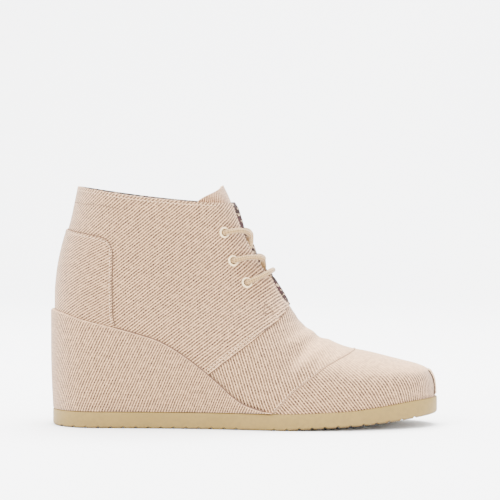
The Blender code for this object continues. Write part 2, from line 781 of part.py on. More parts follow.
def make_overlays():
    counter_region = side_prism("counter_region", COUNTER_EDGE, [])
    overlay("heel_counter", QUARTER_STEP + OVERLAY_GAP, counter_region, COLLAR_RIB, HEEL_RIB + 6)
    back = TOE_STRIP_BACK_ALONG * LENGTH
    size = Vector((LENGTH - back + SKIRT, TOE_STRIP_WIDTH, TOE_STRIP_TOP))
    bm = bmesh.new()
    bmesh.ops.create_cube(bm, size=1)
    bmesh.ops.scale(bm, vec=size, verts=bm.verts)
    bmesh.ops.translate(bm, vec=(back + size.x / 2, centre(LENGTH), size.z / 2), verts=bm.verts)
    region = cutter("toe_strip_region", finished(bm))
    overlay("toe_strip", GAP, region, LAST_RIB - 7, LAST_RIB)


def make_wedge():
    stations = stations_to(WEDGE_TIP_ALONG, WEDGE_STATIONS)
    foot = SOLE_THICKNESS + GAP

    def at(share):
        return lambda x: foot + share * (bed(x) - foot)

    def under_top(drop, share):
        return lambda x: np.maximum(bed(x) - drop, at(share)(x))

    levels = [
        level(stations, 0, at(0)),
        level(stations, -0.45 * WEDGE_SWELL, at(0.2)),
        level(stations, -WEDGE_SWELL, at(0.55)),
        level(stations, -WEDGE_SWELL, under_top(WEDGE_ROUND, 0.7)),
        level(stations, 0.3 * WEDGE_ROUND - WEDGE_SWELL, under_top(0.3 * WEDGE_ROUND, 0.9)),
        level(stations, WEDGE_ROUND - WEDGE_SWELL, bed),
    ]
    piece("wedge", stack_mesh(levels), "wedge_fabric")


def make_outsole():
    stations = stations_to(1, SOLE_STATIONS)
    edge = SOLE_EDGE_ROUND
    levels = [
        level(stations, edge, sole_under),
        level(stations, 0.3 * edge, lambda x: sole_under(x) + 0.3 * edge),
        level(stations, 0, lambda x: sole_under(x) + edge),
        level(stations, 0, lambda x: sole_top(x) - 0.5 * edge),
        level(stations, 0.3 * edge, sole_top),
    ]
    outsole = piece("outsole", stack_mesh(levels), "sole_rubber")
    bm = bmesh.new()
    start = TREAD_START_ALONG * LENGTH
    for number in range(int((LENGTH - start) / TREAD_PITCH)):
        x = start + number * TREAD_PITCH
        if SHANK_PLAIN_ALONG[0] < x / LENGTH < SHANK_PLAIN_ALONG[1]:
            continue
        top = sole_under(x) + TREAD_DEPTH
        made = bmesh.ops.create_cube(bm, size=1)
        bmesh.ops.scale(bm, vec=(TREAD_WIDTH, 2 * BALL_WIDTH, SOLE_THICKNESS), verts=made["verts"])
        bmesh.ops.translate(bm, vec=(x, 0, top - SOLE_THICKNESS / 2), verts=made["verts"])
    boolean(outsole, "DIFFERENCE", cutter("tread_grooves", finished(bm)))


def make_insole():
    """Board that follows the bed inside the upper's wall, whose facets it keeps."""
    places, points = form_points(-(WALL + INSOLE_CLEARANCE), ABOVE_COLLAR_RIB, LAST_RIB)
    points = points[places >= HEEL_RIB]
    places = places[places >= HEEL_RIB]
    steps = np.linspace(0, len(places) - 1, 3 * len(places) - 2)
    levels = [[], []]
    for column in (0, -1):
        foot = points[:, column, :2]
        line = np.column_stack([np.interp(steps, np.arange(len(foot)), foot[:, axis]) for axis in (0, 1)])
        under = bed(line[:, 0]) + INSOLE_LIFT
        levels[0].append(np.column_stack((line, under)))
        levels[1].append(np.column_stack((line, under + INSOLE_THICKNESS)))
    piece("insole", stack_mesh(levels), "insole_fabric")


def make_tongue():
    """Strip that follows the crest inside the quarters, with a rounded top."""
    columns = np.linspace(-1, 1, TONGUE_COLUMNS)
    rows = np.arange(TONGUE_ROWS)
    bm = bmesh.new()
    sheets = []
    for depth in (0, TONGUE_THICKNESS):
        sheet = []
        for row in rows:
            line = []
            for column in columns:
                start = TONGUE["rib"][0] + TONGUE_TIP_ROUND * abs(column) ** 2.5
                place = start + (TONGUE["rib"][-1] - start) * row / rows[-1]
                half = smooth(TONGUE["rib"], TONGUE["width"], place) * TONGUE_WIDTH / 2
                sink = smooth(TONGUE["rib"], TONGUE["sink"], place) * LACE_ROOM
                lift = -(WALL + GAP + sink + depth)
                line.append(bm.verts.new(across(place, column * half, lift)[0]))
            sheet.append(line)
        sheets.append(sheet)
    outer, inner = sheets
    for i in range(len(rows) - 1):
        for j in range(len(columns) - 1):
            for sheet in sheets:
                bm.faces.new((sheet[i][j], sheet[i + 1][j], sheet[i + 1][j + 1], sheet[i][j + 1]))
    for i in range(len(rows) - 1):
        for j in (0, -1):
            bm.faces.new((outer[i][j], outer[i + 1][j], inner[i + 1][j], inner[i][j]))
    for j in range(len(columns) - 1):
        for i in (0, -1):
            bm.faces.new((outer[i][j], outer[i][j + 1], inner[i][j + 1], inner[i][j]))
    piece("tongue", finished(bm), "upper_fabric")


def tube_mesh(points):
    """Closed round cord along points, from a bevelled poly curve."""
    curve = bpy.data.curves.new("cord", "CURVE")
    curve.dimensions = "3D"
    curve.bevel_depth = LACE_RADIUS
    curve.bevel_resolution = 2
    curve.use_fill_caps = True
    spline = curve.splines.new("POLY")
    spline.points.add(len(points) - 1)
    for target, point in zip(spline.points, points):
        target.co = (*point, 1)
    obj = bpy.data.objects.new("cord", curve)
    bpy.data.collections["cutters"].objects.link(obj)
    seen = obj.evaluated_get(bpy.context.evaluated_depsgraph_get())
    mesh = bpy.data.meshes.new_from_object(seen)
    bpy.data.objects.remove(obj)
    bm = bmesh.new()
    bm.from_mesh(mesh)
    return finished(bm)


def lace_run(route, sign):
    """Smooth cord through a route of ribs, setbacks from the crest and lifts in cord radii."""
    points = np.array([across(rib, sign * aside * EYELET_SETBACK, lift * LACE_RADIUS)[0]
                       for rib, aside, lift in zip(*route.values())])
    lengths = running_length(points)
    at = np.linspace(0, lengths[-1], LACE_POINTS)
    return np.column_stack([smooth(lengths, points[:, axis], at) for axis in range(3)])


def make_laces():
    piece("lace_bar", tube_mesh(lace_run(LACE_BAR, 1)), "lace_cord")
    for name, route in (("lace_crossing_lower", LOWER_CROSSING), ("lace_crossing_upper", UPPER_CROSSING)):
        crossing = piece(name, tube_mesh(lace_run(route, 1)), "lace_cord")
        other = cutter(name + "_other", tube_mesh(lace_run(route, -1)))
        boolean(crossing, "UNION", other)


def main():
    for obj in list(bpy.data.objects):
        bpy.data.objects.remove(obj)
    for name in ("ankle_boot", "cutters"):
        bpy.context.scene.collection.children.link(bpy.data.collections.new(name))
    outer, inner = sole_line(np.linspace(0, 1, 201), 1.0, 0)
    frame = bpy.data.objects.new("boot_frame", None)
    frame.location = (-LENGTH / 2, -(outer[:, 1].min() + inner[:, 1].max()) / 2, 0)
    bpy.data.collections["ankle_boot"].objects.link(frame)
    make_upper()
    make_overlays()
    make_eyelets()
    make_wedge()
    make_outsole()
    make_insole()
    make_tongue()
    make_laces()


main()
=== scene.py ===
"""Looks of the wedge ankle boot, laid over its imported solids."""
from math import cos, exp, pi, radians, sin

import bmesh
import bpy
import numpy as np
from mathutils import Matrix, Vector
from mathutils.bvhtree import BVHTree


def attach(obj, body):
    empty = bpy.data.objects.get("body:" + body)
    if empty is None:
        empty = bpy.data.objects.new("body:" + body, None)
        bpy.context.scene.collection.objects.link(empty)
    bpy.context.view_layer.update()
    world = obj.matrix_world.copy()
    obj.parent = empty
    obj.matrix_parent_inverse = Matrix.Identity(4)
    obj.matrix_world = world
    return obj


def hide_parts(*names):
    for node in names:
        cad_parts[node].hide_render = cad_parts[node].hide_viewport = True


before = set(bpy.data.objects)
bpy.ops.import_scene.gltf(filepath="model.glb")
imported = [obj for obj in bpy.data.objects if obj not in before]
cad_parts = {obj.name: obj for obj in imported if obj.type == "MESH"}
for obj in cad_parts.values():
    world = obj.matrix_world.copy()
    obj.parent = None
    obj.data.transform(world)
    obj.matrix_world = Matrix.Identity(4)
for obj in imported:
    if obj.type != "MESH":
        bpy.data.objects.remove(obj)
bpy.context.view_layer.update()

MM = 0.001

# Main sizes, as in the part
LENGTH = 240 * MM
HEEL_HEIGHT = 72 * MM
COLLAR_HEIGHT = 76 * MM
BOOT_HEIGHT = HEEL_HEIGHT + COLLAR_HEIGHT
INSTEP_RISE = 40 * MM
HEEL_WIDTH = 60 * MM
BALL_WIDTH = 84 * MM
COLLAR_WIDTH = 66 * MM
TOE_SWING = 5 * MM
WALL = 1.8 * MM
QUARTER_STEP = 0.9 * MM
COUNTER_TOP = 2.1 * MM
TONGUE_THICKNESS = 1.8 * MM
INSOLE_THICKNESS = 2.5 * MM
GAP = 0.3 * MM
SOLE_THICKNESS = 10 * MM
TOE_RISE = 7.8 * MM
TOE_SPRING = 7.8 * MM
SOLE_EDGE_ROUND = 1.6 * MM
HEEL_INSET = 4.4 * MM
TOE_INSET = 1.3 * MM
WEDGE_SWELL = 1.2 * MM
WEDGE_ROUND = 1.4 * MM
WEDGE_TIP = 139 * MM
TREAD_PITCH = 7.7 * MM
TREAD_WIDTH = 1.5 * MM
TREAD_DEPTH = 1.1 * MM
TREAD_START = 10 * MM
SHANK_PLAIN = (119 * MM, 135 * MM)
EYELET_FLANGE_RADIUS = 3.5 * MM
EYELET_HOLE_RADIUS = 2.0 * MM
PUNCH_RADIUS = 2.5 * MM
PUNCH_REACH = 8 * MM
LACE_RADIUS = 1.6 * MM
STRIP_LOW = 19 * MM
STRIP_TOP = 34 * MM
STRIP_HALF = 7.5 * MM
STRIP_CORD = 2.4 * MM
STRIP_SLANT = 0.8
STRIP_BORDER = 0.8 * MM
NEARLY_NOTHING = 0.1 * MM


def table(columns, *rows):
    """Rows of numbers as named columns."""
    return dict(zip(columns.split(), np.array(rows, dtype=float).T))


# Bed of the foot: its drop from heel height (1) to the sole's top (0)
BED = table(
    "along drop",
    (0, 1), (0.042, 0.968), (0.083, 0.919), (0.125, 0.879), (0.183, 0.823),
    (0.229, 0.774), (0.283, 0.71), (0.329, 0.621), (0.367, 0.524), (0.408, 0.403),
    (0.448, 0.274), (0.483, 0.153), (0.513, 0.081), (0.55, 0.032), (0.58, 0.008),
    (0.61, 0), (1, 0),
)

# Toe of the sole: how far its top and its underside have risen
TOE = table(
    "along top under",
    (0, 0, 0), (0.6, 0, 0), (0.65, 0.03, 0.08), (0.71, 0.11, 0.19),
    (0.775, 0.21, 0.29), (0.83, 0.4, 0.43), (0.89, 0.66, 0.61), (0.945, 0.89, 0.81),
    (1, 1, 1),
)

# Outline of the foot, along the last: from heel width (0) to ball width (1)
PLAN = table(
    "along lateral medial",
    (0, 0, 0), (0.12, 0, 0), (0.25, 0.02, -0.1), (0.4, 0.2, -0.2),
    (0.52, 0.62, 0.2), (0.62, 0.93, 0.65), (0.7, 1, 0.93), (0.78, 1, 1),
    (1, 1, 1),
)
HEEL_ROUND_END = 0.12
TOE_ROUND_START = 0.66
HEEL_ROUNDNESS = 2.15
TOE_ROUNDNESS = 2.05
SWING_START = 0.42

# How far the sole stands out around the upper's foot line, in shares of HEEL_INSET
LEDGE = table(
    "along sole",
    (0, 0.73), (0.12, 0.6), (0.3, 0.45), (0.45, 0.36), (0.57, 0.295), (1, 0.295),
)

# Ribs of the shaft
SHAFT = table(
    "foot lift crest rise lateral medial widest front_round back_round slope follow dip",
    (0.0687, 1.158, 0.4486, -0.25, 1.02, 0.99, 0.46, 2.2, 2.2, 2.2, 0, 0.026),
    (0.0576, 1, 0.472, -0.262, 1.01, 0.98, 0.45, 2.2, 2.2, 2.2, 0, 0.026),
    (0.0384, 0.724, 0.4904, -0.05, 0.96, 0.93, 0.43, 2.1, 2.25, 2.25, 0.15, 0.012),
    (0.0175, 0.5, 0.5105, 0.1, 0.93, 0.9, 0.42, 2.1, 2.35, 2.35, 0.4, 0),
    (0.0051, 0.303, 0.5318, 0.25, 0.92, 0.9, 0.41, 2, 2.5, 2.5, 0.7, 0),
    (0.0004, 0.138, 0.5502, 0.4, 0.92, 0.91, 0.4, 2, 2.7, 2.7, 0.9, 0),
    (0, 0, 0.5689, 0.5, 0.92, 0.91, 0.38, 2, 2.85, 2.85, 1, 0),
)

# Ribs of the vamp
VAMP = table(
    "foot crest rise fullness widest front_round back_round slope follow",
    (0.041, 0.5873, 0.383, 1.02, 0.33, 2, 2.6, 2.5, 1),
    (0.1178, 0.6043, 0.318, 1.03, 0.28, 2, 2.3, 2, 1),
    (0.2032, 0.6206, 0.318, 1.04, 0.24, 2, 2.1, 1.5, 0.8),
    (0.2885, 0.6342, 0.358, 1.04, 0.21, 2, 2, 1.2, 0.4),
    (0.3739, 0.6556, 0.53, 1.03, 0.19, 2, 2, 1, 0),
    (0.4592, 0.6855, 0.82, 1.01, 0.18, 2, 2, 1, 0),
    (0.5446, 0.7239, 1, 1.01, 0.18, 2.1, 2, 1, 0),
    (0.6214, 0.7708, 0.943, 1.01, 0.17, 2.2, 2, 1, 0),
    (0.6982, 0.822, 0.858, 1.01, 0.16, 2.2, 2, 1, 0),
    (0.7751, 0.869, 0.765, 1.02, 0.15, 2.3, 2, 1, 0),
    (0.8476, 0.9138, 0.648, 1.03, 0.15, 2.4, 2, 1, 0),
    (0.9117, 0.9565, 0.528, 1.03, 0.15, 2.4, 2, 1, 0),
    (0.9607, 0.9842, 0.405, 1.03, 0.15, 2.3, 2, 1, 0),
    (0.9906, 0.9974, 0.222, 1.03, 0.15, 2.2, 2, 1, 0),
    (1, 1, 0, 1, 0.15, 2.2, 2, 1, 0),
)
COLLAR_RIB = 1
HEEL_RIB = len(SHAFT["foot"]) - 1
LAST_RIB = HEEL_RIB + len(VAMP["foot"])
TOE_TIP = LAST_RIB - 0.02
FRONT_SHARE = 0.6
FOOT_TURN = 0.999

# Throat: half of its opening at each rib, in millimetres
THROAT = table(
    "rib half_gap",
    (0.3, 16), (1, 12.6), (1.25, 10), (1.7, 9.2), (3, 7.9), (5, 6.6),
    (7.5, 5.4), (8.2, 4.6), (8.45, 3.4), (9.4, 3),
)

# Tongue: half width and how far it lies below the quarters' lining, in millimetres
TONGUE = table(
    "rib half_width sink",
    (0.02, 35, 0.3), (0.6, 37, 0.3), (1, 36, 0.4), (1.6, 31, 1.4),
    (2.3, 27, 4.2), (3.6, 24.5, 4.4), (5, 23.5, 4.4), (6.4, 22.5, 4.4),
    (7.6, 21, 3.2), (8.8, 19, 1), (9.8, 17, 0), (10.6, 15, 0),
)
TONGUE_TIP_ROUND = 0.95
TONGUE_TIP_POWER = 1.5

# How far the inner quarter's edge stands up along the throat, in millimetres
FLAP = table(
    "rib lift",
    (0.3, 0.8), (1, 1.3), (1.8, 1.6), (2.5, 0.7), (3.3, 2), (3.9, 1.2), (4.3, 0.5),
    (5.2, 0.8), (5.9, 0.4), (6.6, 1.5), (7.5, 2.2), (8.1, 1.6), (8.45, 0.4), (9.4, 0),
)
FLAP_REACH = 12
QUARTER_SPAN = 60

# Ribs between which the tongue's cloth is evened out, and how many times
TONGUE_EVEN = (4.8, 7.6)
TONGUE_EVEN_TIMES = 36

# Eyelets from the top down: rib and distance from the crest in millimetres
EYELETS = table(
    "rib from_crest",
    (2.45, 24), (4.2, 25.5), (6.28, 25.5),
)

# Edges in the side view, in shares of the boot's length and height
QUARTER_EDGE = table(
    "along height",
    (0.3, 0), (0.355, 0.13), (0.412, 0.215), (0.514, 0.342), (0.589, 0.437),
    (0.607, 0.47), (0.622, 0.515), (0.76, 0.7),
)
VAMP_SEAM = table(
    "along height",
    (0.56, 0), (0.579, 0.06), (0.64, 0.165), (0.719, 0.262), (0.742, 0.282),
    (0.789, 0.32), (0.85, 0.42),
)
COUNTER_TOP_EDGE = table(
    "along height",
    (0, 0.818), (0.037, 0.811), (0.13, 0.791), (0.156, 0.779), (0.17, 0.757),
    (0.1765, 0.722),
)
COUNTER_FRONT_EDGE = table(
    "height along",
    (0.25, 0.19), (0.38, 0.186), (0.465, 0.176), (0.58, 0.1735), (0.713, 0.1755),
    (0.82, 0.1755),
)
COUNTER_CORNER = 0.1755
COLLAR_STITCHES = table(
    "along height",
    (0.065, 0.93), (0.105, 0.922), (0.15, 0.918), (0.2, 0.902), (0.218, 0.915),
    (0.232, 0.938), (0.238, 0.955),
)
BAR_TACK = table(
    "along height",
    (0.557, 0.508), (0.58, 0.474), (0.555, 0.466), (0.557, 0.508),
)

# Soft creases in the side view: a line, then half width and depth in millimetres
CREASES = table(
    "along height to_along to_height width depth",
    (0.47, 0.5, 0.56, 0.56, 5, 0.6),
    (0.45, 0.59, 0.52, 0.66, 6, 0.5),
    (0.64, 0.23, 0.69, 0.33, 4.5, -0.45),
    (0.6, 0.2, 0.65, 0.3, 4, 0.5),
    (0.74, 0.15, 0.78, 0.3, 6, 0.45),
    (0.25, 0.7, 0.38, 0.64, 8, 0.7),
    (0.22, 0.62, 0.34, 0.56, 7, -0.5),
    (0.33, 0.83, 0.42, 0.76, 8, 0.6),
)


def smooth(knots, values, at):
    """Read a curve through the knots that never overshoots them."""
    steps = np.diff(knots)
    slopes = np.diff(values) / steps
    tangents = np.zeros(len(knots))
    tangents[0] = slopes[0]
    tangents[-1] = slopes[-1]
    for i in range(1, len(slopes)):
        if slopes[i - 1] * slopes[i] > 0:
            tangents[i] = 2 * slopes[i - 1] * slopes[i] / (slopes[i - 1] + slopes[i])
    at = np.clip(at, knots[0], knots[-1])
    i = np.clip(np.searchsorted(knots, at, side="right") - 1, 0, len(steps) - 1)
    t = (at - knots[i]) / steps[i]
    start = values[i] * (1 + 2 * t) * (1 - t) ** 2 + tangents[i] * steps[i] * t * (1 - t) ** 2
    end = values[i + 1] * t ** 2 * (3 - 2 * t) + tangents[i + 1] * steps[i] * t ** 2 * (t - 1)
    return start + end


def last_x(share):
    """Place along the last, from the heel's back (0) to the tip of the toe (1)."""
    return HEEL_INSET + share * (LENGTH - HEEL_INSET - TOE_INSET)


def sole_top(x):
    return SOLE_THICKNESS + TOE_RISE * smooth(TOE["along"], TOE["top"], x / LENGTH)


def sole_under(x):
    return TOE_SPRING * smooth(TOE["along"], TOE["under"], x / LENGTH)


def bed(x):
    """Height of the bed that the upper stands on."""
    return sole_top(x) + (HEEL_HEIGHT - SOLE_THICKNESS) * smooth(BED["along"], BED["drop"], x / LENGTH)


def centre(x):
    """Middle of the last, which leans to the inner side at the toe."""
    share = np.clip((x / LENGTH - SWING_START) / (1 - SWING_START), 0, None)
    return TOE_SWING * share ** 2


def outline(x, side):
    """Half width of the upper's foot line on one side."""
    along = np.clip((x - last_x(0)) / (last_x(1) - last_x(0)), 0, 1)
    spread = smooth(PLAN["along"], PLAN[side], along)
    half = (HEEL_WIDTH + (BALL_WIDTH - HEEL_WIDTH) * spread) / 2
    heel = np.clip(1 - along / HEEL_ROUND_END, 0, 1)
    toe = np.clip((along - TOE_ROUND_START) / (1 - TOE_ROUND_START), 0, 1)
    half = half * (1 - heel ** HEEL_ROUNDNESS) ** (1 / HEEL_ROUNDNESS)
    return half * (1 - toe ** TOE_ROUNDNESS) ** (1 / TOE_ROUNDNESS)


def ribs(place):
    """Foot, crest and widths of the ribs at the given places."""
    numbers = np.arange(LAST_RIB + 1.0)
    bare = np.zeros(len(VAMP["foot"]))

    def read(shaft, vamp):
        return smooth(numbers, np.concatenate((shaft, vamp)), place)

    rib = {name: read(SHAFT[name], VAMP[name]) for name in
           ("widest", "front_round", "back_round", "slope", "follow")}
    rib["dip"] = read(SHAFT["dip"], bare) * COLLAR_HEIGHT
    rib["foot_x"] = last_x(read(SHAFT["foot"], VAMP["foot"]))
    on_vamp = place > HEEL_RIB
    stands_on = np.where(on_vamp, rib["foot_x"], last_x(0))
    rib["foot_z"] = bed(stands_on) + GAP + read(SHAFT["lift"], bare) * COLLAR_HEIGHT
    rib["crest_x"] = last_x(read(SHAFT["crest"], VAMP["crest"]))
    rib["crest_z"] = rib["foot_z"] + read(SHAFT["rise"], VAMP["rise"]) * INSTEP_RISE
    widest_x = rib["foot_x"] + rib["widest"] * (rib["crest_x"] - rib["foot_x"])
    rib["set_back"] = np.where(on_vamp, 0, rib["foot_x"] - last_x(0))
    for side in ("lateral", "medial"):
        heel_half = SHAFT[side][-1] * COLLAR_WIDTH / 2
        heel_x = last_x(0) + SHAFT["widest"][-1] * (last_x(SHAFT["crest"][-1]) - last_x(0))
        heel_fullness = np.full(len(SHAFT["foot"]), heel_half / outline(heel_x, side))
        fullness = read(heel_fullness, VAMP["fullness"])
        shaft_half = smooth(numbers[:HEEL_RIB + 1], SHAFT[side], place) * COLLAR_WIDTH / 2
        rib[side] = np.where(on_vamp, fullness * outline(widest_x, side), shaft_half)
        rib[side + "_foot"] = np.where(on_vamp, outline(rib["foot_x"], side), 0)
        last_half = np.maximum(outline(widest_x - rib["set_back"], side), NEARLY_NOTHING)
        rib[side + "_full"] = rib[side] / last_half
    return rib


def skin(place, turn):
    """Points of the upper's base skin. Turn runs from -1, the outer foot line, over the
    crest at 0 to 1, the inner foot line."""
    place, turn = np.broadcast_arrays(np.asarray(place, float), np.asarray(turn, float))
    rib = ribs(place)
    outer = turn < 0
    width = np.where(outer, rib["lateral"], rib["medial"])
    foot = np.where(outer, rib["lateral_foot"], rib["medial_foot"])
    away = np.abs(turn)
    theta = pi / 2 * np.clip(1 - away / FRONT_SHARE, 0, 1)
    psi = pi / 2 * np.clip((away - FRONT_SHARE) / (1 - FRONT_SHARE), 0, 1)
    in_front = away <= FRONT_SHARE
    power = 2 / rib["front_round"]
    along_front = rib["widest"] + (1 - rib["widest"]) * np.sin(theta) ** power
    out_front = width * np.cos(theta) ** power
    along_back = rib["widest"] * (1 - np.sin(psi) ** (2 / rib["back_round"]))
    along = np.where(in_front, along_front, along_back)
    x = rib["foot_x"] + along * (rib["crest_x"] - rib["foot_x"])
    free = foot + (width - foot) * np.abs(np.cos(psi)) ** (2 / rib["slope"])
    at = x - rib["set_back"]
    followed = np.where(outer, outline(at, "lateral"), outline(at, "medial"))
    full = np.where(outer, rib["lateral_full"], rib["medial_full"])
    followed = followed * (1 + (full - 1) * np.cos(psi))
    out_back = free + rib["follow"] * (followed - free)
    out = np.where(in_front, out_front, out_back)
    z = rib["foot_z"] + along * (rib["crest_z"] - rib["foot_z"])
    z = z - rib["dip"] * 4 * along * (1 - along)
    y = np.where(outer, -out, out) + centre(x)
    return np.stack((x, y, z), axis=-1)


def skin_normal(place, turn):
    """Outward direction of the base skin."""
    step = 0.004
    along = skin(place + step, turn) - skin(place - step, turn)
    across = skin(place, turn + step) - skin(place, turn - step)
    normal = np.cross(along, across)
    return normal / np.linalg.norm(normal, axis=-1, keepdims=True)


def folds(points):
    """Rise of the cloth over the skin in its soft creases."""
    flat = points[..., (0, 2)]
    rise = np.zeros(flat.shape[:-1])
    for along, height, to_along, to_height, width, depth in zip(*CREASES.values()):
        start = np.array((along * LENGTH, height * BOOT_HEIGHT))
        run = np.array((to_along * LENGTH, to_height * BOOT_HEIGHT)) - start
        share = np.clip(((flat - start) @ run) / (run @ run), 0, 1)
        away = np.linalg.norm(flat - start - share[..., None] * run, axis=-1)
        rise -= depth * MM * np.exp(-(away / (width * MM)) ** 2)
    return rise


def cloth(place, turn, lift):
    """Points and outward directions of the cloth, lifted off the base skin."""
    points = skin(place, turn)
    normals = skin_normal(place, turn)
    return points + normals * (lift + folds(points))[..., None], normals


def lengths_along(line):
    """Length of a line up to each of its points."""
    return np.concatenate(((0,), np.cumsum(np.linalg.norm(np.diff(line, axis=0), axis=1))))


def turn_at(place, distance):
    """Turn of a point at a signed distance from the crest, measured round its rib."""
    side = -1 if distance < 0 else 1
    turns = side * np.linspace(0, 0.9, 90)
    line = skin(place, turns)
    lengths = lengths_along(line)
    return side * np.interp(abs(distance), lengths, np.abs(turns))


def foot_line(x, side):
    """Points of the foot line's outline on one side, seen from above."""
    sign = -1 if side == "lateral" else 1
    return np.stack((x, sign * outline(x, side) + centre(x)), axis=-1)


def sole_line(stations, share_of_ledge, inset):
    """Outer and inner side of the sole's outline, both from heel to front."""
    fine = last_x((1 - np.cos(pi * np.linspace(0, 1, 241))) / 2)
    lines = []
    for side, sign in (("lateral", -1), ("medial", 1)):
        line = foot_line(fine, side)
        before = ((fine[0], -sign * 0.001),)
        after = ((fine[-1], centre(fine[-1]) - sign * 0.001),)
        padded = np.concatenate((before, line, after))
        run = padded[2:] - padded[:-2]
        normal = np.stack((run[:, 1], -run[:, 0]), axis=-1) * -sign
        normal /= np.linalg.norm(normal, axis=1, keepdims=True)
        normal[0] = (-1, 0)
        normal[-1] = (1, 0)
        ledge = smooth(LEDGE["along"], LEDGE["sole"], fine / LENGTH) * HEEL_INSET
        moved = line + normal * (ledge * share_of_ledge - inset)[:, None]
        order = np.argsort(moved[:, 0], kind="stable")
        x = moved[order, 0]
        reach = x[0] + (x[-1] - x[0]) * stations
        lines.append(np.stack((reach, np.interp(reach, x, moved[order, 1])), axis=-1))
    return lines


SOLE_OUTER, SOLE_INNER = sole_line(np.linspace(0, 1, 201), 1.0, 0)
SHIFT = Vector((-LENGTH / 2, -(SOLE_OUTER[:, 1].min() + SOLE_INNER[:, 1].max()) / 2, 0))


# Ways of making pieces

def grid(columns, rows):
    """A flat grid, with its points' shares along and up."""
    bm = bmesh.new()
    bmesh.ops.create_grid(bm, x_segments=columns, y_segments=rows, size=0.5)
    spots = np.array([vert.co for vert in bm.verts]) + 0.5
    return bm, spots[:, 0], spots[:, 1]


def lay(bm, points):
    """Move the points of a mesh to their places."""
    for vert, point in zip(bm.verts, points):
        vert.co = point
    bm.normal_update()


def face_along(bm, directions):
    """Turn a sheet's faces to the side that the directions point to."""
    facing = sum(vert.normal.dot(Vector(way)) for vert, way in zip(bm.verts, directions))
    if facing < 0:
        bmesh.ops.reverse_faces(bm, faces=bm.faces)
        bm.normal_update()


def even_out(bm, verts, times=1):
    for _ in range(times):
        bmesh.ops.smooth_vert(bm, verts=verts, factor=0.5,
                              use_axis_x=True, use_axis_y=True, use_axis_z=True)
    bm.normal_update()


def raise_sheet(bm, rises):
    """Move a sheet's points out along their own directions."""
    for vert, way, rise in zip(bm.verts, [vert.normal.copy() for vert in bm.verts], rises):
        vert.co += way * rise


def map_cloth(bm, along, up):
    """Write the cloth's own map, in metres, before any points are merged."""
    layer = bm.loops.layers.uv.new("cloth")
    bm.verts.index_update()
    for face in bm.faces:
        for loop in face.loops:
            loop[layer].uv = (along[loop.vert.index], up[loop.vert.index])


def link(name, data):
    """A new object of a mesh, a lamp or a camera, in the scene."""
    obj = bpy.data.objects.new(name, data)
    bpy.context.scene.collection.objects.link(obj)
    return obj


def smooth_mesh(name, bm, finishes):
    for face in bm.faces:
        face.smooth = True
    mesh = bpy.data.meshes.new(name)
    bm.to_mesh(mesh)
    bm.free()
    for finish in finishes:
        mesh.materials.append(finish)
    return link(name, mesh)


def piece(name, bm, finishes, replaced=()):
    """A finished piece, in its place, riding with the boot."""
    bmesh.ops.translate(bm, vec=SHIFT, verts=bm.verts)
    obj = smooth_mesh(name, bm, finishes)
    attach(obj, "root")
    if replaced:
        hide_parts(*replaced)
    return obj


def closed(bm):
    """Merge a rolled or stacked grid's seams and turn its faces outwards."""
    bmesh.ops.remove_doubles(bm, verts=bm.verts, dist=0.01 * MM)
    bmesh.ops.recalc_face_normals(bm, faces=bm.faces)
    if bm.calc_volume(signed=True) < 0:
        bmesh.ops.reverse_faces(bm, faces=bm.faces)


def spread_cloth(obj, side):
    """Unwrap a panel and bring its map to metres, level with the side view."""
    bpy.context.view_layer.objects.active = obj
    obj.select_set(True)
    bpy.ops.object.mode_set(mode="EDIT")
    bpy.ops.mesh.select_all(action="SELECT")
    bpy.ops.uv.unwrap(method="CONFORMAL", margin=0.0)
    bpy.ops.object.mode_set(mode="OBJECT")
    obj.select_set(False)
    mesh = obj.data
    layer = mesh.uv_layers.active
    layer.name = "cloth"
    spots = np.array([complex(*item.uv) for item in layer.data])
    corners = np.array([mesh.vertices[loop.vertex_index].co for loop in mesh.loops])
    looks = np.array([mesh.vertices[loop.vertex_index].normal[1] for loop in mesh.loops])
    seen = looks * side > 0.55
    target = corners[:, 0] + 1j * corners[:, 2]
    best = None
    for turned in (spots, spots.conj()):
        middle, aim = turned[seen].mean(), target[seen].mean()
        lever = turned[seen] - middle
        scale = (lever.conj() * (target[seen] - aim)).sum() / (np.abs(lever) ** 2).sum()
        fitted = scale * (turned - middle) + aim
        miss = np.abs(fitted[seen] - target[seen]).sum()
        if best is None or miss < best[0]:
            best = (miss, fitted)
    for item, spot in zip(layer.data, best[1]):
        item.uv = (spot.real, spot.imag)


def thicken(obj, thickness, edge_round=0, lined_rim=False):
    """Give a sheet its thickness inwards, with or without rounded edges."""
    wall = obj.modifiers.new("wall", "SOLIDIFY")
    wall.thickness = thickness
    wall.offset = -1
    if len(obj.data.materials) > 1:
        wall.material_offset = 1
        wall.material_offset_rim = 1 if lined_rim else 0
    if not edge_round:
        return
    rim = obj.modifiers.new("rim", "BEVEL")
    rim.width = edge_round
    rim.segments = 3
    rim.limit_method = "ANGLE"
    rim.angle_limit = radians(50)


def flap_lift(place, v):
    """Rise of the inner quarter beside the throat. V is the share of the way to its edge."""
    rise = smooth(FLAP["rib"], FLAP["lift"], place) * MM
    from_edge = (1 - v) * QUARTER_SPAN
    return rise * np.exp(-(from_edge / FLAP_REACH) ** 2)


def off_axis(spot, middle, way):
    """The part of the way from an eyelet's middle to a spot that is level with its ring."""
    away = spot - middle
    return away - way * away.dot(way)


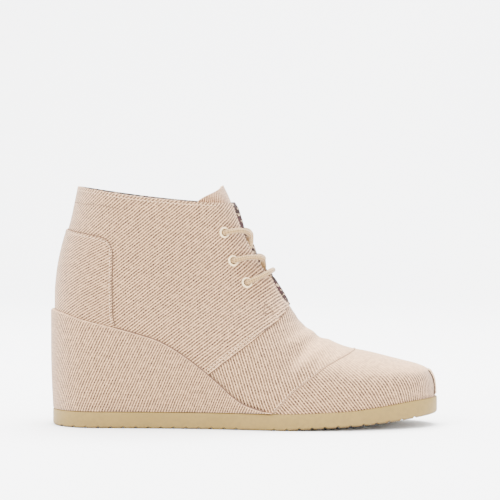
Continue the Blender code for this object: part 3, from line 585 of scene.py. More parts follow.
def punch(bm, middle, way):
    """Leave an eyelet's round hole in a cloth, before it is made thick."""
    near = [face for face in bm.faces
            if (face.calc_center_median() - middle).length < PUNCH_REACH]
    inside = {face for face in near
              if off_axis(face.calc_center_median(), middle, way).length < PUNCH_RADIUS}
    rim = {vert for face in inside for vert in face.verts
           if any(other not in inside for other in vert.link_faces)}
    bmesh.ops.delete(bm, geom=list(inside), context="FACES")
    for vert in rim:
        aside = off_axis(vert.co, middle, way)
        vert.co += aside * (PUNCH_RADIUS / aside.length - 1)


def panel(name, spots, size, lift, thickness, finishes, side, replaced=(), flap=False, holes=()):
    """A cloth panel laid on the upper. Spots gives place and turn for the grid's shares."""
    bm, u, v = grid(*size)
    place, turn = spots(u, v)
    if flap:
        lift = lift + flap_lift(place, v)
    points, normals = cloth(place, turn, lift)
    points[np.abs(turn) > FOOT_TURN, 2] -= 0.8 * GAP
    lay(bm, points)
    face_along(bm, normals)
    for middle, way in holes:
        punch(bm, middle, way)
    obj = piece(name, bm, finishes, replaced)
    spread_cloth(obj, side)
    thicken(obj, thickness, 0.45 * MM, lined_rim=flap)


def ring_stack(name, stations, levels, finishes, replaced):
    """Closed form through level loops, each given by its inset, its height and its width."""
    levels = np.array([loop_at(stations, *level) for level in levels])
    count = levels.shape[1]
    bm, u, v = grid(count, len(levels) - 1)
    column = np.rint(u * count).astype(int)
    row = np.rint(v * (len(levels) - 1)).astype(int)
    lay(bm, levels[row, column % count])
    widest = levels[len(levels) // 2]
    lengths = lengths_along(widest)
    lengths = np.append(lengths, lengths[-1]) - lengths[count // 2]
    map_cloth(bm, lengths[column], levels[row, column % count, 2])
    closed(bm)
    return piece(name, bm, finishes, replaced)


def loop_at(stations, inset, height, width=1.0):
    """One loop of a stack. A width of 0 draws it in to the middle line."""
    outer, inner = sole_line(stations, 1.0, inset)
    ring = np.concatenate((inner[::-1], outer))
    middle = centre(ring[:, 0])
    ring[:, 1] = middle + (ring[:, 1] - middle) * width
    return np.column_stack((ring, height(ring[:, 0])))


def rolled(name, line, radius, around, finishes, replaced=()):
    """Round cord along a smooth line, closed by domes."""
    line = np.array(line)
    run = np.gradient(line, axis=0)
    run /= np.linalg.norm(run, axis=1, keepdims=True)
    ways = [np.cross(run[0], (0, 0, 1.0))]
    for along in run[1:]:
        way = ways[-1] - along * (ways[-1] @ along)
        ways.append(way / np.linalg.norm(way))
    ways = np.array(ways)
    ups = np.cross(run, ways)
    lengths = lengths_along(line)
    from_end = np.minimum(lengths, lengths[-1] - lengths)
    reach = np.clip(1 - from_end / radius, 0, 1)
    thick = radius * np.sqrt(1 - reach ** 2)
    bm, u, v = grid(len(line) - 1, around)
    i = np.rint(u * (len(line) - 1)).astype(int)
    turn = 2 * pi * np.rint(v * around) / around
    spoke = np.cos(turn)[:, None] * ways[i] + np.sin(turn)[:, None] * ups[i]
    lay(bm, line[i] + spoke * thick[i][:, None])
    map_cloth(bm, lengths[i], v)
    closed(bm)
    return piece(name, bm, finishes, replaced)


# Finishes

class Finish:
    """A material, with short ways of adding its nodes."""

    def __init__(self, name, roughness, **shine):
        self.material = bpy.data.materials.new(name)
        self.material.use_nodes = True
        self.nodes = self.material.node_tree.nodes
        self.links = self.material.node_tree.links
        self.shader = self.nodes["Principled BSDF"]
        self.shader.inputs["Roughness"].default_value = roughness
        for name, value in shine.items():
            self.shader.inputs[name.replace("_", " ")].default_value = value

    def give(self, socket, value):
        if isinstance(value, bpy.types.NodeSocket):
            self.links.new(value, socket)
        elif isinstance(value, tuple) and len(value) == 3 and socket.type == "RGBA":
            socket.default_value = (*value, 1)
        else:
            socket.default_value = value

    def node(self, kind, values, output=0, **settings):
        made = self.nodes.new("ShaderNode" + kind)
        for name, value in settings.items():
            setattr(made, name, value)
        for key, value in values.items():
            self.give(made.inputs[key], value)
        return made.outputs[output]

    def sum(self, operation, *values):
        return self.node("Math", dict(enumerate(values)), operation=operation)

    def times(self, one, two):
        return self.sum("MULTIPLY", one, two)

    def parts(self, vector):
        """The three shares of a vector."""
        return [self.node("SeparateXYZ", {0: vector}, output=axis) for axis in range(3)]

    def upward(self):
        """How far the surface looks up, from -1 to 1."""
        return self.parts(self.node("NewGeometry", {}, output="Normal"))[2]

    def on_object(self):
        return self.node("TexCoord", {}, output="Object")

    def on_cloth(self):
        return self.node("UVMap", {}, uv_map="cloth")

    def ramp(self, value, low, high, to_low=0.0, to_high=1.0):
        return self.node("MapRange", {"Value": value, "From Min": low, "From Max": high,
                                      "To Min": to_low, "To Max": to_high},
                         interpolation_type="SMOOTHSTEP")

    def mix(self, share, one, two):
        made = self.nodes.new("ShaderNodeMix")
        made.data_type = "RGBA"
        self.give(made.inputs[0], share)
        self.give(made.inputs[6], one)
        self.give(made.inputs[7], two)
        return made.outputs[2]

    def noise(self, spot, scale, detail=2.0):
        return self.node("TexNoise", {"Vector": spot, "Scale": scale, "Detail": detail})

    def bump(self, height, distance, strength):
        made = self.node("Bump", {"Height": height, "Distance": distance, "Strength": strength})
        self.links.new(made, self.shader.inputs["Normal"])

    def colour(self, value):
        self.links.new(value, self.shader.inputs["Base Color"])


CREAM = (0.70, 0.42, 0.215)
TWILL_LINE = (0.030, 0.010, 0.004)
PALE_TWILL_LINE = (0.06, 0.022, 0.010)
TWILL_DASH = 1.8 * MM
BRAID_PITCH = 2.6 * MM


def twill(name, slant, pitch=1.6, line=TWILL_LINE, ground=CREAM):
    """Ribbed cotton: brown lines on a cream ground, at a slant in degrees from level, with the lines
    faded on upward faces as a painted highlight.
    """
    made = Finish(name, 0.9, Sheen_Weight=0.15, Sheen_Roughness=0.6, Specular_IOR_Level=0.25)
    spot = made.on_cloth()
    turned = made.node("Mapping", {"Vector": spot, "Rotation": (0, 0, radians(-slant))})
    along, aside, _ = made.parts(turned)
    wander = made.sum("SUBTRACT", made.noise(spot, 130.0), 0.5)
    across = made.sum("ADD", made.sum("DIVIDE", aside, pitch * MM),
                      made.times(wander, 0.5))
    wave = made.sum("SINE", made.times(across, 2 * pi))
    rib = made.ramp(wave, -0.95, -0.25)
    row = made.sum("FLOOR", made.sum("ADD", across, 0.25))
    dash = made.times(along, 2 * pi / TWILL_DASH)
    beads = made.sum("SINE", made.sum("ADD", dash, made.times(row, 2.4)))
    bead = made.ramp(beads, -1.0, 1.0)
    fleck = made.noise(spot, 900.0, 3.0)
    strong = made.times(rib, made.ramp(bead, 0.0, 1.0, 0.86, 1.0))
    strong = made.times(strong, made.ramp(fleck, 0.35, 0.55, 0.82, 1.0))
    strong = made.times(strong, made.ramp(made.noise(spot, 330.0), 0.3, 0.6, 0.86, 1.0))
    # Painted highlight: the brown lines fade on faces that look up, so the tops of the cloth are paler.
    strong = made.times(strong, made.ramp(made.upward(), 0.5, 0.95, 1.0, 0.3))
    wash = made.ramp(made.noise(spot, 26.0), 0.3, 0.7)
    base = made.mix(wash, ground, tuple(0.93 * part for part in ground))
    base = made.mix(made.ramp(made.noise(spot, 420.0, 3.0), 0.35, 0.7), base,
                    tuple(0.70 * part for part in ground))
    made.colour(made.mix(strong, base, line))
    thread = made.sum("SUBTRACT", made.times(bead, 0.35), rib)
    made.bump(made.sum("ADD", thread, made.times(fleck, 0.5)), 0.35 * MM, 0.55)
    return made.material


def rubber(name):
    """Moulded crepe-coloured rubber, with a fine grain, and painted shade on faces that look down."""
    made = Finish(name, 0.62, Specular_IOR_Level=0.35)
    spot = made.on_object()
    cloud = made.ramp(made.noise(spot, 24.0, 3.0), 0.3, 0.7)
    speck = made.ramp(made.noise(spot, 380.0, 2.0), 0.42, 0.66)
    base = made.mix(cloud, (0.172, 0.110, 0.023), (0.188, 0.120, 0.027))
    base = made.mix(made.times(speck, 0.35), base, (0.135, 0.087, 0.022))
    # Painted shade: faces that look down, the underside and the rounded lower edge, are mixed towards
    # dark brown.
    under = made.ramp(made.upward(), -0.75, -0.1, 0.75, 0.0)
    made.colour(made.mix(under, base, (0.085, 0.052, 0.016)))
    grain = made.sum("ADD", made.noise(spot, 1500.0, 3.0), made.noise(spot, 240.0, 1.0))
    made.bump(grain, 0.12 * MM, 0.4)
    return made.material


def printed_lining(name):
    """Dark lining with loose cream flecks."""
    made = Finish(name, 0.85)
    spot = made.on_object()
    fleck = made.ramp(made.noise(spot, 420.0, 2.0), 0.56, 0.64)
    cloud = made.ramp(made.noise(spot, 120.0), 0.4, 0.6)
    ground = made.mix(cloud, (0.030, 0.008, 0.010), (0.018, 0.007, 0.006))
    made.colour(made.mix(fleck, ground, (0.40, 0.28, 0.18)))
    made.bump(made.noise(spot, 1800.0, 2.0), 0.15 * MM, 0.4)
    return made.material


def braid(name):
    """Round braided cord: two sets of strands that cross, with painted shade in the gaps between them."""
    made = Finish(name, 0.8, Sheen_Weight=0.2)
    lengthways, around, _ = made.parts(made.on_cloth())
    along = made.sum("DIVIDE", lengthways, BRAID_PITCH)
    round_it = made.times(around, 4.0)
    one = made.sum("SINE", made.times(made.sum("ADD", along, round_it), 2 * pi))
    two = made.sum("SINE", made.times(made.sum("SUBTRACT", along, round_it), 2 * pi))
    strands = made.ramp(made.times(one, two), -0.7, 0.7)
    fibre = made.noise(made.on_object(), 1400.0, 2.0)
    # The dark share between the strands is painted shade in the gaps of the braid.
    colour = made.mix(strands, (0.09, 0.046, 0.014), (0.42, 0.25, 0.082))
    made.colour(made.mix(made.ramp(fibre, 0.35, 0.7), colour, (0.31, 0.18, 0.058)))
    made.bump(made.sum("ADD", strands, made.times(fibre, 0.4)), 0.35 * MM, 0.7)
    return made.material


def plain_cloth(name, colour, darker, scale):
    """Fine plain weave on object coordinates."""
    made = Finish(name, 0.85)
    spot = made.on_object()
    fibre = made.noise(spot, scale, 3.0)
    made.colour(made.mix(made.ramp(fibre, 0.35, 0.65), colour, darker))
    made.bump(fibre, 0.2 * MM, 0.5)
    return made.material


def corded(name):
    """Coarse slanting cords on the toe strip, with painted shade in the valleys and a painted shadow line
    at the sides.
    """
    made = Finish(name, 0.85)
    spot = made.on_cloth()
    across, up, _ = made.parts(spot)
    slanted = made.sum("SUBTRACT", up, made.times(across, STRIP_SLANT))
    turns = made.times(slanted, pi / STRIP_CORD)
    # Painted shade in the valleys between the cords.
    valley_shade = made.ramp(made.sum("ABSOLUTE", made.sum("SINE", turns)), 0.05, 0.65, 0.9, 0.0)
    # Painted shadow line along the strip's sides, where it stands off the vamp.
    aside = made.sum("ABSOLUTE", made.sum("SUBTRACT", across, float(centre(LENGTH))))
    seam = made.ramp(aside, STRIP_HALF - 0.7 * MM, STRIP_HALF - 0.3 * MM)
    dark = made.sum("MAXIMUM", valley_shade, seam)
    fibre = made.noise(spot, 900.0, 3.0)
    base = made.mix(made.ramp(fibre, 0.35, 0.65), (0.62, 0.43, 0.25), (0.42, 0.27, 0.15))
    made.colour(made.mix(dark, base, (0.05, 0.026, 0.016)))
    made.bump(fibre, 0.2 * MM, 0.5)
    return made.material


def ring_paint(name):
    """Thick cream paint on a metal ring, a little chipped."""
    made = Finish(name, 0.38, Coat_Weight=0.25, Coat_Roughness=0.3)
    spot = made.on_object()
    chip = made.ramp(made.noise(spot, 700.0, 3.0), 0.66, 0.72)
    made.colour(made.mix(chip, (0.66, 0.48, 0.26), (0.44, 0.30, 0.16)))
    made.bump(made.noise(spot, 300.0), 0.1 * MM, 0.35)
    return made.material


lining = printed_lining("printed_lining")
quarter_twill = twill("quarter_twill", 38)
counter_twill = twill("counter_twill", 28, 1.5)
middle_twill = twill("middle_vamp_twill", 107, 1.62)
toe_twill = twill("toe_vamp_twill", 124, 1.55)
wedge_twill = twill("wedge_twill", 64, 1.57)
tongue_twill = twill("tongue_twill", 92, 1.6, PALE_TWILL_LINE)
strip_cloth = corded("toe_strip_cord")
insole_cloth = plain_cloth("insole_cloth", (0.20, 0.12, 0.08), (0.12, 0.07, 0.05), 700.0)
pale_thread = plain_cloth("pale_thread", (0.66, 0.47, 0.30), (0.48, 0.32, 0.19), 2500.0)
# Brown thread for the dark stitches, also used for painted shadow lines beside raised edges and for the
# shadow cord.
brown_thread_and_shadow = plain_cloth("brown_thread_and_shadow", (0.13, 0.07, 0.04), (0.08, 0.04, 0.022), 2500.0)
sole_rubber = rubber("sole_rubber")
lace_braid = braid("lace_braid")
ring_finish = ring_paint("eyelet_ring_paint")


# Upper

SIDES = {"outer": -1, "inner": 1}
SIDE_NAMES = {"outer": "lateral", "inner": "medial"}


def throat_edge(side):
    """Places down the throat and the turn of the quarter's edge at each."""
    places = np.linspace(THROAT["rib"][0], THROAT["rib"][-1], 80)
    gaps = smooth(THROAT["rib"], THROAT["half_gap"], places) * MM
    turns = np.linspace(0, FRONT_SHARE, 120)
    edge = []
    for place, gap in zip(places, gaps):
        line = skin(place, side * turns)
        edge.append(np.interp(gap, np.abs(line[:, 1] - line[0, 1]), turns))
    return places, np.array(edge)


def side_edge(edge, side):
    """Turns of one side and the place where a side-view edge crosses each."""
    turns = np.linspace(0.01, 1, 80)
    places = np.linspace(COLLAR_RIB + 1, LAST_RIB - 0.5, 700)
    crossed = []
    for turn in turns:
        line = skin(places, side * turn)
        heights = np.interp(line[:, 0] / LENGTH, edge["along"], edge["height"] * BOOT_HEIGHT)
        above = line[:, 2] - heights
        i = int(np.argmax(above < 0))
        share = above[i - 1] / (above[i - 1] - above[i])
        crossed.append(places[i - 1] + share * (places[i] - places[i - 1]))
    return turns, np.array(crossed)


throats = {side: throat_edge(sign) for side, sign in SIDES.items()}
lower_edges = {side: side_edge(QUARTER_EDGE, sign) for side, sign in SIDES.items()}
vamp_seams = {side: side_edge(VAMP_SEAM, sign) for side, sign in SIDES.items()}


def edge_place(edges, turn):
    """Place of an edge for turns on both sides."""
    outer = np.interp(np.abs(turn), *edges["outer"])
    inner = np.interp(np.abs(turn), *edges["inner"])
    share = np.clip(turn / 0.1 + 0.5, 0, 1)
    return outer * (1 - share) + inner * share


def quarter_spots(side):
    def spots(u, v):
        place = COLLAR_RIB + 7 * u
        for _ in range(16):
            end_turn = np.interp(place, *throats[side])
            turn = 1 - v * (1 - end_turn)
            end = np.interp(turn, *lower_edges[side])
            place = COLLAR_RIB + u * (end - COLLAR_RIB)
        return place, SIDES[side] * turn
    return spots


def middle_spots(u, v):
    turn = 2 * v - 1
    start = edge_place(lower_edges, turn) - 0.35
    return start + u * (edge_place(vamp_seams, turn) - start), turn


def toe_spots(u, v):
    turn = 2 * v - 1
    start = edge_place(vamp_seams, turn)
    return start + u * (TOE_TIP - start), turn


def eyelet_spots():
    """Name, side, point and direction of each eyelet."""
    for side, sign in SIDES.items():
        for number, (rib, distance) in enumerate(zip(EYELETS["rib"], EYELETS["from_crest"]), 1):
            turn = turn_at(rib, sign * distance * MM)
            point, normal = cloth(np.array(rib), np.array(turn), QUARTER_STEP)
            yield side, number, Vector(point), Vector(normal)


for side, sign in SIDES.items():
    replaced = ("upper",) if side == "outer" else ()
    holes = [(middle, way) for eyelet_side, _, middle, way in eyelet_spots() if eyelet_side == side]
    panel("quarter_" + side, quarter_spots(side), (100, 70), QUARTER_STEP, QUARTER_STEP + WALL,
          (quarter_twill, lining), sign, replaced, flap=side == "inner", holes=holes)
panel("vamp_middle", middle_spots, (46, 110), 0.0, 1.75 * MM, (middle_twill, lining), -1)
panel("vamp_toe", toe_spots, (110, 110), 0.0, 1.7 * MM, (toe_twill, lining), -1)


# Heel counter, laid over the quarters by casting level rays at the skin

def skin_tree():
    bm, u, v = grid(200, 200)
    place = COLLAR_RIB + u * (TOE_TIP - COLLAR_RIB)
    points, normals = cloth(place, 2 * v - 1, 0.0)
    lay(bm, points)
    face_along(bm, normals)
    tree = BVHTree.FromBMesh(bm)
    bm.free()
    return tree


tree = skin_tree()


def heel_path():
    """Distances round the heel from its back, and the foot line's points there."""
    x = last_x(np.linspace(0, 1, 400) ** 2 * 0.35)
    paths = {}
    for side, name in SIDE_NAMES.items():
        line = foot_line(x, name)
        paths[side] = (lengths_along(line), line)
    return paths


heel_paths = heel_path()


def counter_point(around, up, inset=0.0):
    """Point of the counter: share round one side (negative is the outer one), share up."""
    side = "outer" if around < 0 else "inner"
    lengths, line = heel_paths[side]
    height = 0.7 * BOOT_HEIGHT
    x = 0.0
    for _ in range(6):
        front = np.interp(height / BOOT_HEIGHT, COUNTER_FRONT_EDGE["height"], COUNTER_FRONT_EDGE["along"])
        end = np.interp(front * LENGTH, line[:, 0], lengths)
        reach = abs(around) * (end - inset)
        x = np.interp(reach, lengths, line[:, 0])
        share_x = x / LENGTH * COUNTER_CORNER / front
        top = smooth(COUNTER_TOP_EDGE["along"], COUNTER_TOP_EDGE["height"], share_x) * BOOT_HEIGHT - inset
        low = bed(x) + GAP
        height = low + up * (top - low)
    y = np.interp(reach, lengths, line[:, 1])
    ahead = np.interp(reach + 1 * MM, lengths, line[:, 0]) - x
    aside = np.interp(reach + 1 * MM, lengths, line[:, 1]) - y
    way = Vector((-abs(aside), SIDES[side] * ahead, 0)).normalized()
    spot = Vector((x, y, max(height, low + 0.5 * MM)))
    hit = tree.ray_cast(spot + way * 20 * MM, -way)[0] or tree.find_nearest(spot)[0]
    return Vector((hit.x, hit.y, height))


def heel_counter():
    columns, rows = 120, 70
    bm, u, v = grid(columns, rows)
    points = [counter_point(2 * along - 1, up) for along, up in zip(u, v)]
    lay(bm, points)
    middle = Vector((60 * MM, 0, 90 * MM))
    face_along(bm, [Vector(point) - middle for point in points])
    even_out(bm, bm.verts)
    raise_sheet(bm, [COUNTER_TOP - 0.1 * MM] * len(points))
    obj = piece("heel_counter_cover", bm, (counter_twill,), ("heel_counter",))
    spread_cloth(obj, -1)
    thicken(obj, 1.1 * MM, 0.35 * MM)


# Toe strip: a coarse corded band down the tip


def toe_strip():
    bm, u, v = grid(90, 80)
    y = centre(LENGTH) + (2 * u - 1) * STRIP_HALF
    z = STRIP_LOW + v * (STRIP_TOP - STRIP_LOW)
    points = []
    for one_y, one_z in zip(y, z):
        hit, _, _, _ = tree.ray_cast(Vector((LENGTH + 20 * MM, one_y, one_z)), Vector((-1, 0, 0)))
        points.append(hit or tree.find_nearest(Vector((LENGTH, one_y, one_z)))[0])
    lay(bm, points)
    face_along(bm, [(1, 0, 0.5)] * len(points))
    side_drop = np.clip((1 - np.abs(2 * u - 1)) * STRIP_HALF / STRIP_BORDER, 0, 1)
    end_drop = np.clip((1 - np.abs(2 * v - 1)) * (STRIP_TOP - STRIP_LOW) / 2 / STRIP_BORDER, 0, 1)
    slanted = (z - STRIP_SLANT * y) / STRIP_CORD
    cord = np.abs(np.sin(pi * slanted)) ** 0.7
    rise = 0.2 * MM + (0.35 * MM + 0.6 * MM * cord) * np.sqrt(side_drop * end_drop)
    raise_sheet(bm, rise)
    map_cloth(bm, y, z)
    obj = piece("toe_strip_band", bm, (strip_cloth,), ("toe_strip",))
    thicken(obj, 0.5 * MM)


# Tongue

def tongue():
    bm, u, v = grid(90, 40)
    column = 2 * v - 1
    start = TONGUE["rib"][0] + TONGUE_TIP_ROUND * np.abs(column) ** TONGUE_TIP_POWER
    place = start + (TONGUE["rib"][-1] - start) * u
    half = smooth(TONGUE["rib"], TONGUE["half_width"], place) * MM
    sink = smooth(TONGUE["rib"], TONGUE["sink"], place) * MM
    turn = np.array([turn_at(one, aside) for one, aside in zip(place, column * half)])
    points, normals = cloth(place, turn, -(WALL + GAP + sink))
    lay(bm, points)
    face_along(bm, normals)
    even = [vert for vert, one, aside in zip(bm.verts, place, column)
            if TONGUE_EVEN[0] < one < TONGUE_EVEN[1] and abs(aside) < 0.99]
    even_out(bm, even, TONGUE_EVEN_TIMES)
    obj = piece("tongue_cloth", bm, (tongue_twill, lining), ("tongue",))
    spread_cloth(obj, -1)
    thicken(obj, TONGUE_THICKNESS, 0.6 * MM)


# Insole

def insole():
    bm, u, v = grid(120, 30)
    place = HEEL_RIB + u * (TOE_TIP - HEEL_RIB)
    outer = skin(place, -1.0)
    inner = skin(place, 1.0)
    middle = (outer + inner) / 2
    inset = WALL + 2.0 * MM
    x = last_x(0) + inset + (middle[:, 0] - last_x(0)) * (1 - 2 * inset / (LENGTH - HEEL_INSET))
    half = (inner[:, 1] - outer[:, 1]) / 2
    reach = np.clip(half - inset, 0, None)
    y = middle[:, 1] + (2 * v - 1) * reach
    dish = 0.5 * MM * np.abs(2 * v - 1) ** 4
    z = bed(x) + INSOLE_THICKNESS + dish
    lay(bm, np.column_stack((x, y, z)))
    face_along(bm, [(0, 0, 1)] * len(x))
    bmesh.ops.remove_doubles(bm, verts=bm.verts, dist=0.05 * MM)
    obj = piece("insole_board", bm, (insole_cloth,), ("insole",))
    thicken(obj, INSOLE_THICKNESS - 0.3 * MM, 0.4 * MM)


# Wedge and outsole

def stations_to(front, count):
    """Shares along the sole, closer together at its round ends."""
    full = (1 - np.cos(pi * np.linspace(0, 1, count))) / 2
    share = front / LENGTH
    return full if share >= 1 else np.append(full[full < share - 0.003], share)


def wedge():
    foot = SOLE_THICKNESS + GAP

    def at(share):
        return lambda x: foot + share * (bed(x) - foot)

    def under_top(drop, share):
        return lambda x: np.maximum(bed(x) - drop, at(share)(x))

    levels = [(0, at(0), 0), (0.4 * MM, at(0)), (0, lambda x: np.minimum(foot + 0.4 * MM, at(0.1)(x)))]
    for share in (0.2, 0.35, 0.5, 0.6):
        levels.append((-WEDGE_SWELL * sin(pi / 2 * share / 0.6), at(share)))
    for inset, drop, share in ((0, 1, 0.75), (0.12, 0.6, 0.85), (0.45, 0.2, 0.95)):
        levels.append((inset * WEDGE_ROUND - WEDGE_SWELL, under_top(drop * WEDGE_ROUND, share)))
    levels += [(WEDGE_ROUND - WEDGE_SWELL, bed), (0, bed, 0)]
    ring_stack("wedge_cover", stations_to(WEDGE_TIP, 240), levels, (wedge_twill,),
               ("wedge",))


def tread(x):
    """Share of the groove depth at each place under the sole."""
    number = np.rint((x - TREAD_START) / TREAD_PITCH)
    middle = TREAD_START + number * TREAD_PITCH
    plain = (middle > SHANK_PLAIN[0]) & (middle < SHANK_PLAIN[1]) | (number < 0)
    last = int((LENGTH - TREAD_START) / TREAD_PITCH) - 1
    plain |= number > last
    groove = np.clip((TREAD_WIDTH / 2 + 0.2 * MM - np.abs(x - middle)) / (0.4 * MM), 0, 1)
    return np.where(plain, 0, groove)


def outsole():
    stations = np.unique(np.concatenate((stations_to(LENGTH, 200), np.linspace(0, 1, 481))))
    edge = SOLE_EDGE_ROUND

    def under(rise):
        return lambda x: sole_under(x) + np.maximum(rise, TREAD_DEPTH * tread(x))

    def wall(share):
        return lambda x: sole_under(x) + edge + share * (sole_top(x) - sole_under(x) - 1.5 * edge)

    def below_top(drop):
        return lambda x: sole_top(x) - drop

    levels = [(edge, sole_under, 0), (edge, sole_under, 0.1), (edge, under(0), 0.14),
              (edge, under(0), 0.7), (edge, under(0)), (0.45 * edge, under(0.15 * edge)),
              (0.12 * edge, under(0.5 * edge)), (0, under(edge)), (0, wall(0.3)), (0, wall(0.6)),
              (0, below_top(0.5 * edge)), (0.12 * edge, below_top(0.15 * edge)),
              (0.35 * edge, sole_top), (edge, sole_top, 0)]
    ring_stack("outsole_rubber", stations, levels, (sole_rubber,), ("outsole",))


# Eyelets and lace

def eyelet_rings():
    inner = EYELET_HOLE_RADIUS
    outer = EYELET_FLANGE_RADIUS
    profile = [(inner + 0.35 * MM, -3.0 * MM), (inner + 0.35 * MM, 0.0)]
    for step in range(9):
        angle = pi * step / 8
        middle = (inner + outer) / 2
        reach = (outer - inner) / 2
        profile.append((middle + reach * cos(angle), 0.15 * MM + 1.0 * MM * sin(angle)))
    profile.append((inner, -3.0 * MM))
    for side, number, point, normal in eyelet_spots():
        bm = bmesh.new()
        verts = [bm.verts.new((radius, 0, z)) for radius, z in profile]
        edges = [bm.edges.new((verts[i - 1], verts[i])) for i in range(len(verts))]
        bmesh.ops.spin(bm, geom=verts + edges, cent=(0, 0, 0), axis=(0, 0, 1),
                       angle=2 * pi, steps=40, use_merge=True)
        turn = normal.to_track_quat("Z", "Y").to_matrix().to_4x4()
        turn.translation = point
        bmesh.ops.transform(bm, matrix=turn, verts=bm.verts)
        closed(bm)
        label = "%s_%d" % (SIDE_NAMES[side], number)
        piece("eyelet_ring_" + label, bm, (ring_finish,), ("eyelet_" + label,))

# Half of the lace, from the middle of the bar to its end under the top eyelet:
# rib, millimetres from the crest (positive is this half's first side), lift
LACE_ROUTE = (
    (6.02, 0, 4.3), (6.06, 9, 4.2), (6.14, 17, 4), (6.22, 22, 3.9), (6.27, 24.9, 3),
    (6.28, 25.5, 0.8), (6.28, 25.4, -2), (6.2, 23.4, -4), (5.9, 17, -4.3),
    (5.55, 12, -4.2), (5.15, 4.5, -3.9), (4.85, -1.2, -0.6), (4.52, -5.2, 2.9),
    (4.25, -10, 4.1), (4.15, -16, 4), (4.16, -22, 3.9), (4.2, -24.9, 3),
    (4.2, -25.5, 0.8), (4.2, -25.4, -2), (4.13, -23.4, -4), (3.95, -17, -4.3),
    (3.8, -12.5, -4.2), (3.4, -5, -3.9), (3.05, 1.2, -0.6), (2.74, 6, 2.9),
    (2.5, 11, 4.2), (2.42, 16.5, 4), (2.42, 20.5, 3.8), (2.45, 23.4, 3),
    (2.45, 24, 0.8), (2.45, 23.9, -2), (2.42, 22.6, -3.6),
)
CROSSING_SHIFT = 0.17


def lace():
    halves = []
    for sign in (1, -1):
        points = []
        for rib, aside, lift in LACE_ROUTE:
            near_crossing = exp(-(aside / 4.0) ** 2) if rib < 5.6 else 0.0
            rib = rib + sign * CROSSING_SHIFT * near_crossing
            turn = turn_at(rib, sign * aside * MM)
            point, _ = cloth(np.array(rib), np.array(turn), lift * MM)
            points.append(point)
        halves.append(points)
    points = np.array(halves[1][:0:-1] + halves[0])
    lengths = lengths_along(points)
    at = np.arange(0, lengths[-1], 0.7 * MM)
    line = np.column_stack([smooth(lengths, points[:, axis], at) for axis in range(3)])
    for _ in range(2):
        line[1:-1] = (line[:-2] + 2 * line[1:-1] + line[2:]) / 4
    rolled("lace", line, LACE_RADIUS, 14, (lace_braid,),
           ("lace_bar", "lace_crossing_lower", "lace_crossing_upper"))


# Stitching, with brown rows beside raised edges as painted shadow lines

def sew(bm, points, normals, pitch=2.3, length=1.6, width=0.42):
    """A row of stitches along points, in millimetres."""
    points = np.array(points)
    normals = np.array(normals)
    lengths = lengths_along(points)
    count = max(int(lengths[-1] / (pitch * MM)), 1)
    for at in (np.arange(count) + 0.5) * lengths[-1] / count:
        ends = [Vector([np.interp(at + shift, lengths, points[:, axis]) for axis in range(3)])
                for shift in (-0.2 * MM, 0.2 * MM)]
        up = Vector([np.interp(at, lengths, normals[:, axis]) for axis in range(3)]).normalized()
        run = (ends[1] - ends[0]).normalized()
        side = up.cross(run).normalized()
        up = run.cross(side)
        turn = Matrix((run, side, up)).transposed().to_4x4()
        turn.translation = (ends[0] + ends[1]) / 2
        size = Matrix.Diagonal((length * MM, width * MM, 0.7 * width * MM, 1))
        bmesh.ops.create_uvsphere(bm, u_segments=6, v_segments=4, radius=0.5,
                                  matrix=turn @ size)


def inside_edge(edges, turns, back, lift):
    """Points along a side-view edge, moved back from it over the cloth."""
    place = edge_place(edges, turns)
    stride = np.linalg.norm(skin(place + 0.05, turns) - skin(place - 0.05, turns), axis=-1) / 0.1
    return cloth(place - back * MM / stride, turns, lift)


def beside_throat(side, away, lift):
    """Points down the throat's edge, at a distance from it."""
    places, turns = throats[side]
    keep = (places > 1.12) & (places < 8.5)
    places, turns = places[keep], turns[keep]
    stride = np.linalg.norm(skin(places, turns + 0.01) - skin(places, turns - 0.01), axis=-1) / 0.02
    return cloth(places, SIDES[side] * (turns + away * MM / stride), lift)


def seen_from_side(edge, sign, lift, count=60):
    """Points and directions of a side-view line laid on one side of the upper."""
    share = np.linspace(0, len(edge["along"]) - 1, count)
    steps = np.arange(len(edge["along"]))
    points, normals = [], []
    for x, z in zip(np.interp(share, steps, edge["along"]) * LENGTH,
                    np.interp(share, steps, edge["height"]) * BOOT_HEIGHT):
        hit, normal, _, _ = tree.ray_cast(Vector((x, sign * 0.2, z)), Vector((0, -sign, 0)))
        if hit is not None:
            points.append(hit + normal * lift)
            normals.append(normal)
    return points, normals


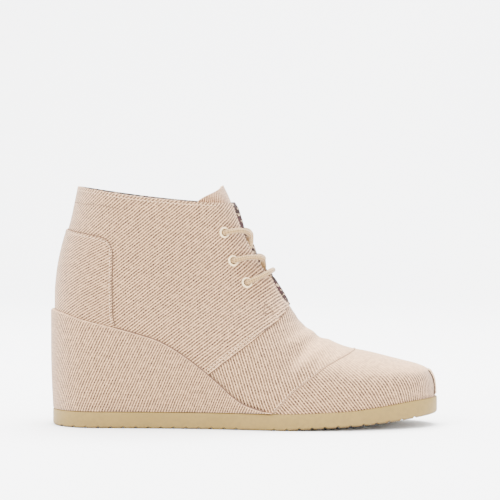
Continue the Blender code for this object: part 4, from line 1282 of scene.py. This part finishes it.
def stitching():
    pale = bmesh.new()
    brown = bmesh.new()
    for side, sign in SIDES.items():
        turns = sign * np.linspace(0.07, 0.985, 120)
        for back in (1.2, 3.0):
            sew(pale, *inside_edge(lower_edges, turns, back, QUARTER_STEP + 0.05 * MM))
        # Dense brown row just outside the quarter's lower edge: a painted shadow line along its step.
        sew(brown, *inside_edge(lower_edges, turns, -0.25, 0.1 * MM), 1.1, 1.15, 0.5)
        sew(pale, *beside_throat(side, 1.8, QUARTER_STEP + 0.05 * MM))
        sew(brown, *seen_from_side(COLLAR_STITCHES, sign, QUARTER_STEP + 0.05 * MM), 1.9, 1.5, 0.5)
        sew(brown, *seen_from_side(BAR_TACK, sign, QUARTER_STEP + 0.15 * MM), 0.75, 0.9, 0.5)
        sew(pale, *inside_edge(vamp_seams, turns, 1.4, 0.05 * MM))
        collar = sign * np.linspace(0.26, 0.97, 120)
        sew(pale, *cloth(np.full(120, COLLAR_RIB + 0.12), collar, QUARTER_STEP + 0.02 * MM))
    # The pale row is the counter's stitching; the brown row just outside its edge is a painted shadow
    # line along its step.
    for thread, inset, lift in ((pale, 1.5 * MM, COUNTER_TOP - 0.05 * MM),
                                (brown, -0.3 * MM, QUARTER_STEP + 0.15 * MM)):
        points = [counter_point(-0.9999, up, inset) for up in np.linspace(0.04, 0.985, 40)]
        points += [counter_point(around, 1.0, inset) for around in np.linspace(-0.985, 0.985, 120)]
        points += [counter_point(0.9999, up, inset) for up in np.linspace(0.985, 0.04, 40)]
        ways = [tree.find_nearest(point)[1] for point in points]
        lifted = [point + way * lift for point, way in zip(points, ways)]
        sew(thread, lifted, ways, *((2.3, 1.6, 0.42) if thread is pale else (1.1, 1.15, 0.6)))
    piece("pale_stitching", pale, (pale_thread,))
    piece("brown_stitching_and_shadow_lines", brown, (brown_thread_and_shadow,))


def foot_shadow_cord():
    """Thin dark cord where the upper meets the wedge: a painted shadow line in the gap between them."""
    for side, sign in SIDES.items():
        place = HEEL_RIB + np.linspace(0, 1, 200) ** 1.5 * 7.2
        points = skin(place, np.full(200, FOOT_TURN * sign))
        away = np.stack((np.zeros(200), np.full(200, sign * 1.0), np.zeros(200)), axis=-1)
        points = points + away * (QUARTER_STEP + 0.35 * MM) + np.array((0, 0, 0.1 * MM))
        rolled("foot_shadow_cord_" + side, points, 0.4 * MM, 8, (brown_thread_and_shadow,))


def vamp_welt():
    """Raised seam between the middle and the toe of the vamp."""
    turns = np.linspace(-0.995, 0.995, 400)
    points, _ = inside_edge(vamp_seams, turns, 0.0, -0.1 * MM)
    rolled("vamp_welt", points, 0.5 * MM, 10, (counter_twill,))


# Stage, light and camera

def backdrop():
    """Pale paper floor that curves up far behind the boot."""
    bm, u, v = grid(2, 60)
    run = v * 6.0 - 2.5
    bend = np.clip(run - 1.6, 0, 0.8 * pi / 2) / 0.8
    rise = np.clip(run - 1.6 - 0.8 * pi / 2, 0, None)
    y = np.minimum(run, 1.6) + 0.8 * np.sin(bend)
    z = 0.8 * (1 - np.cos(bend)) + rise
    lay(bm, np.column_stack(((2 * u - 1) * 3.5, y, z)))
    paint = Finish("paper", 0.95)
    cloud = paint.ramp(paint.noise(paint.on_object(), 3.0), 0.3, 0.7)
    paint.colour(paint.mix(cloud, (0.94, 0.94, 0.945), (0.96, 0.96, 0.96)))
    smooth_mesh("backdrop", bm, (paint.material,))


def soft_light(name, place, aim, size, power):
    light = bpy.data.lights.new(name, "AREA")
    light.shape = "DISK"
    light.size = size
    light.energy = power
    obj = link(name, light)
    obj.location = place
    obj.rotation_euler = (Vector(aim) - Vector(place)).to_track_quat("-Z", "Y").to_euler()


soft_light("key_light", (-0.9, -1.0, 1.2), (0, 0, 0.07), 0.9, 34)
soft_light("fill_light", (0.9, -1.2, 0.9), (0, 0, 0.07), 1.2, 8)
soft_light("top_light", (0.1, 0.2, 1.6), (0, 0, 0), 1.4, 90)
soft_light("heel_light", (-1.3, 0.4, 0.5), (-0.1, 0, 0.1), 0.8, 14)
soft_light("back_light", (0.0, 1.2, 2.2), (0, 2.4, 0.6), 1.6, 90)

world = bpy.data.worlds.new("studio")
bpy.context.scene.world = world
world.use_nodes = True
sky = world.node_tree.nodes["Background"]
sky.inputs["Color"].default_value = (0.97, 0.98, 1.0, 1)
sky.inputs["Strength"].default_value = 3.6

CAMERA_DISTANCE = 1.35
CAMERA_YAW = radians(3.5)
CAMERA_RISE = radians(1.6)
SENSOR_WIDTH = 36
FRAME_WIDTH = 0.3103
AIM = Vector((0.004, 0, 0.1080))


def camera():
    lens = bpy.data.cameras.new("camera")
    lens.sensor_width = SENSOR_WIDTH
    lens.lens = SENSOR_WIDTH * CAMERA_DISTANCE / FRAME_WIDTH
    lens.clip_end = 20
    obj = link("camera", lens)
    away = Vector((sin(CAMERA_YAW) * cos(CAMERA_RISE),
                   -cos(CAMERA_YAW) * cos(CAMERA_RISE), sin(CAMERA_RISE)))
    obj.location = AIM + away * CAMERA_DISTANCE
    obj.rotation_euler = (-away).to_track_quat("-Z", "Y").to_euler()
    bpy.context.scene.camera = obj

for make in (heel_counter, toe_strip, tongue, insole, wedge, outsole, eyelet_rings, lace,
             stitching, foot_shadow_cord, vamp_welt, backdrop, camera):
    make()
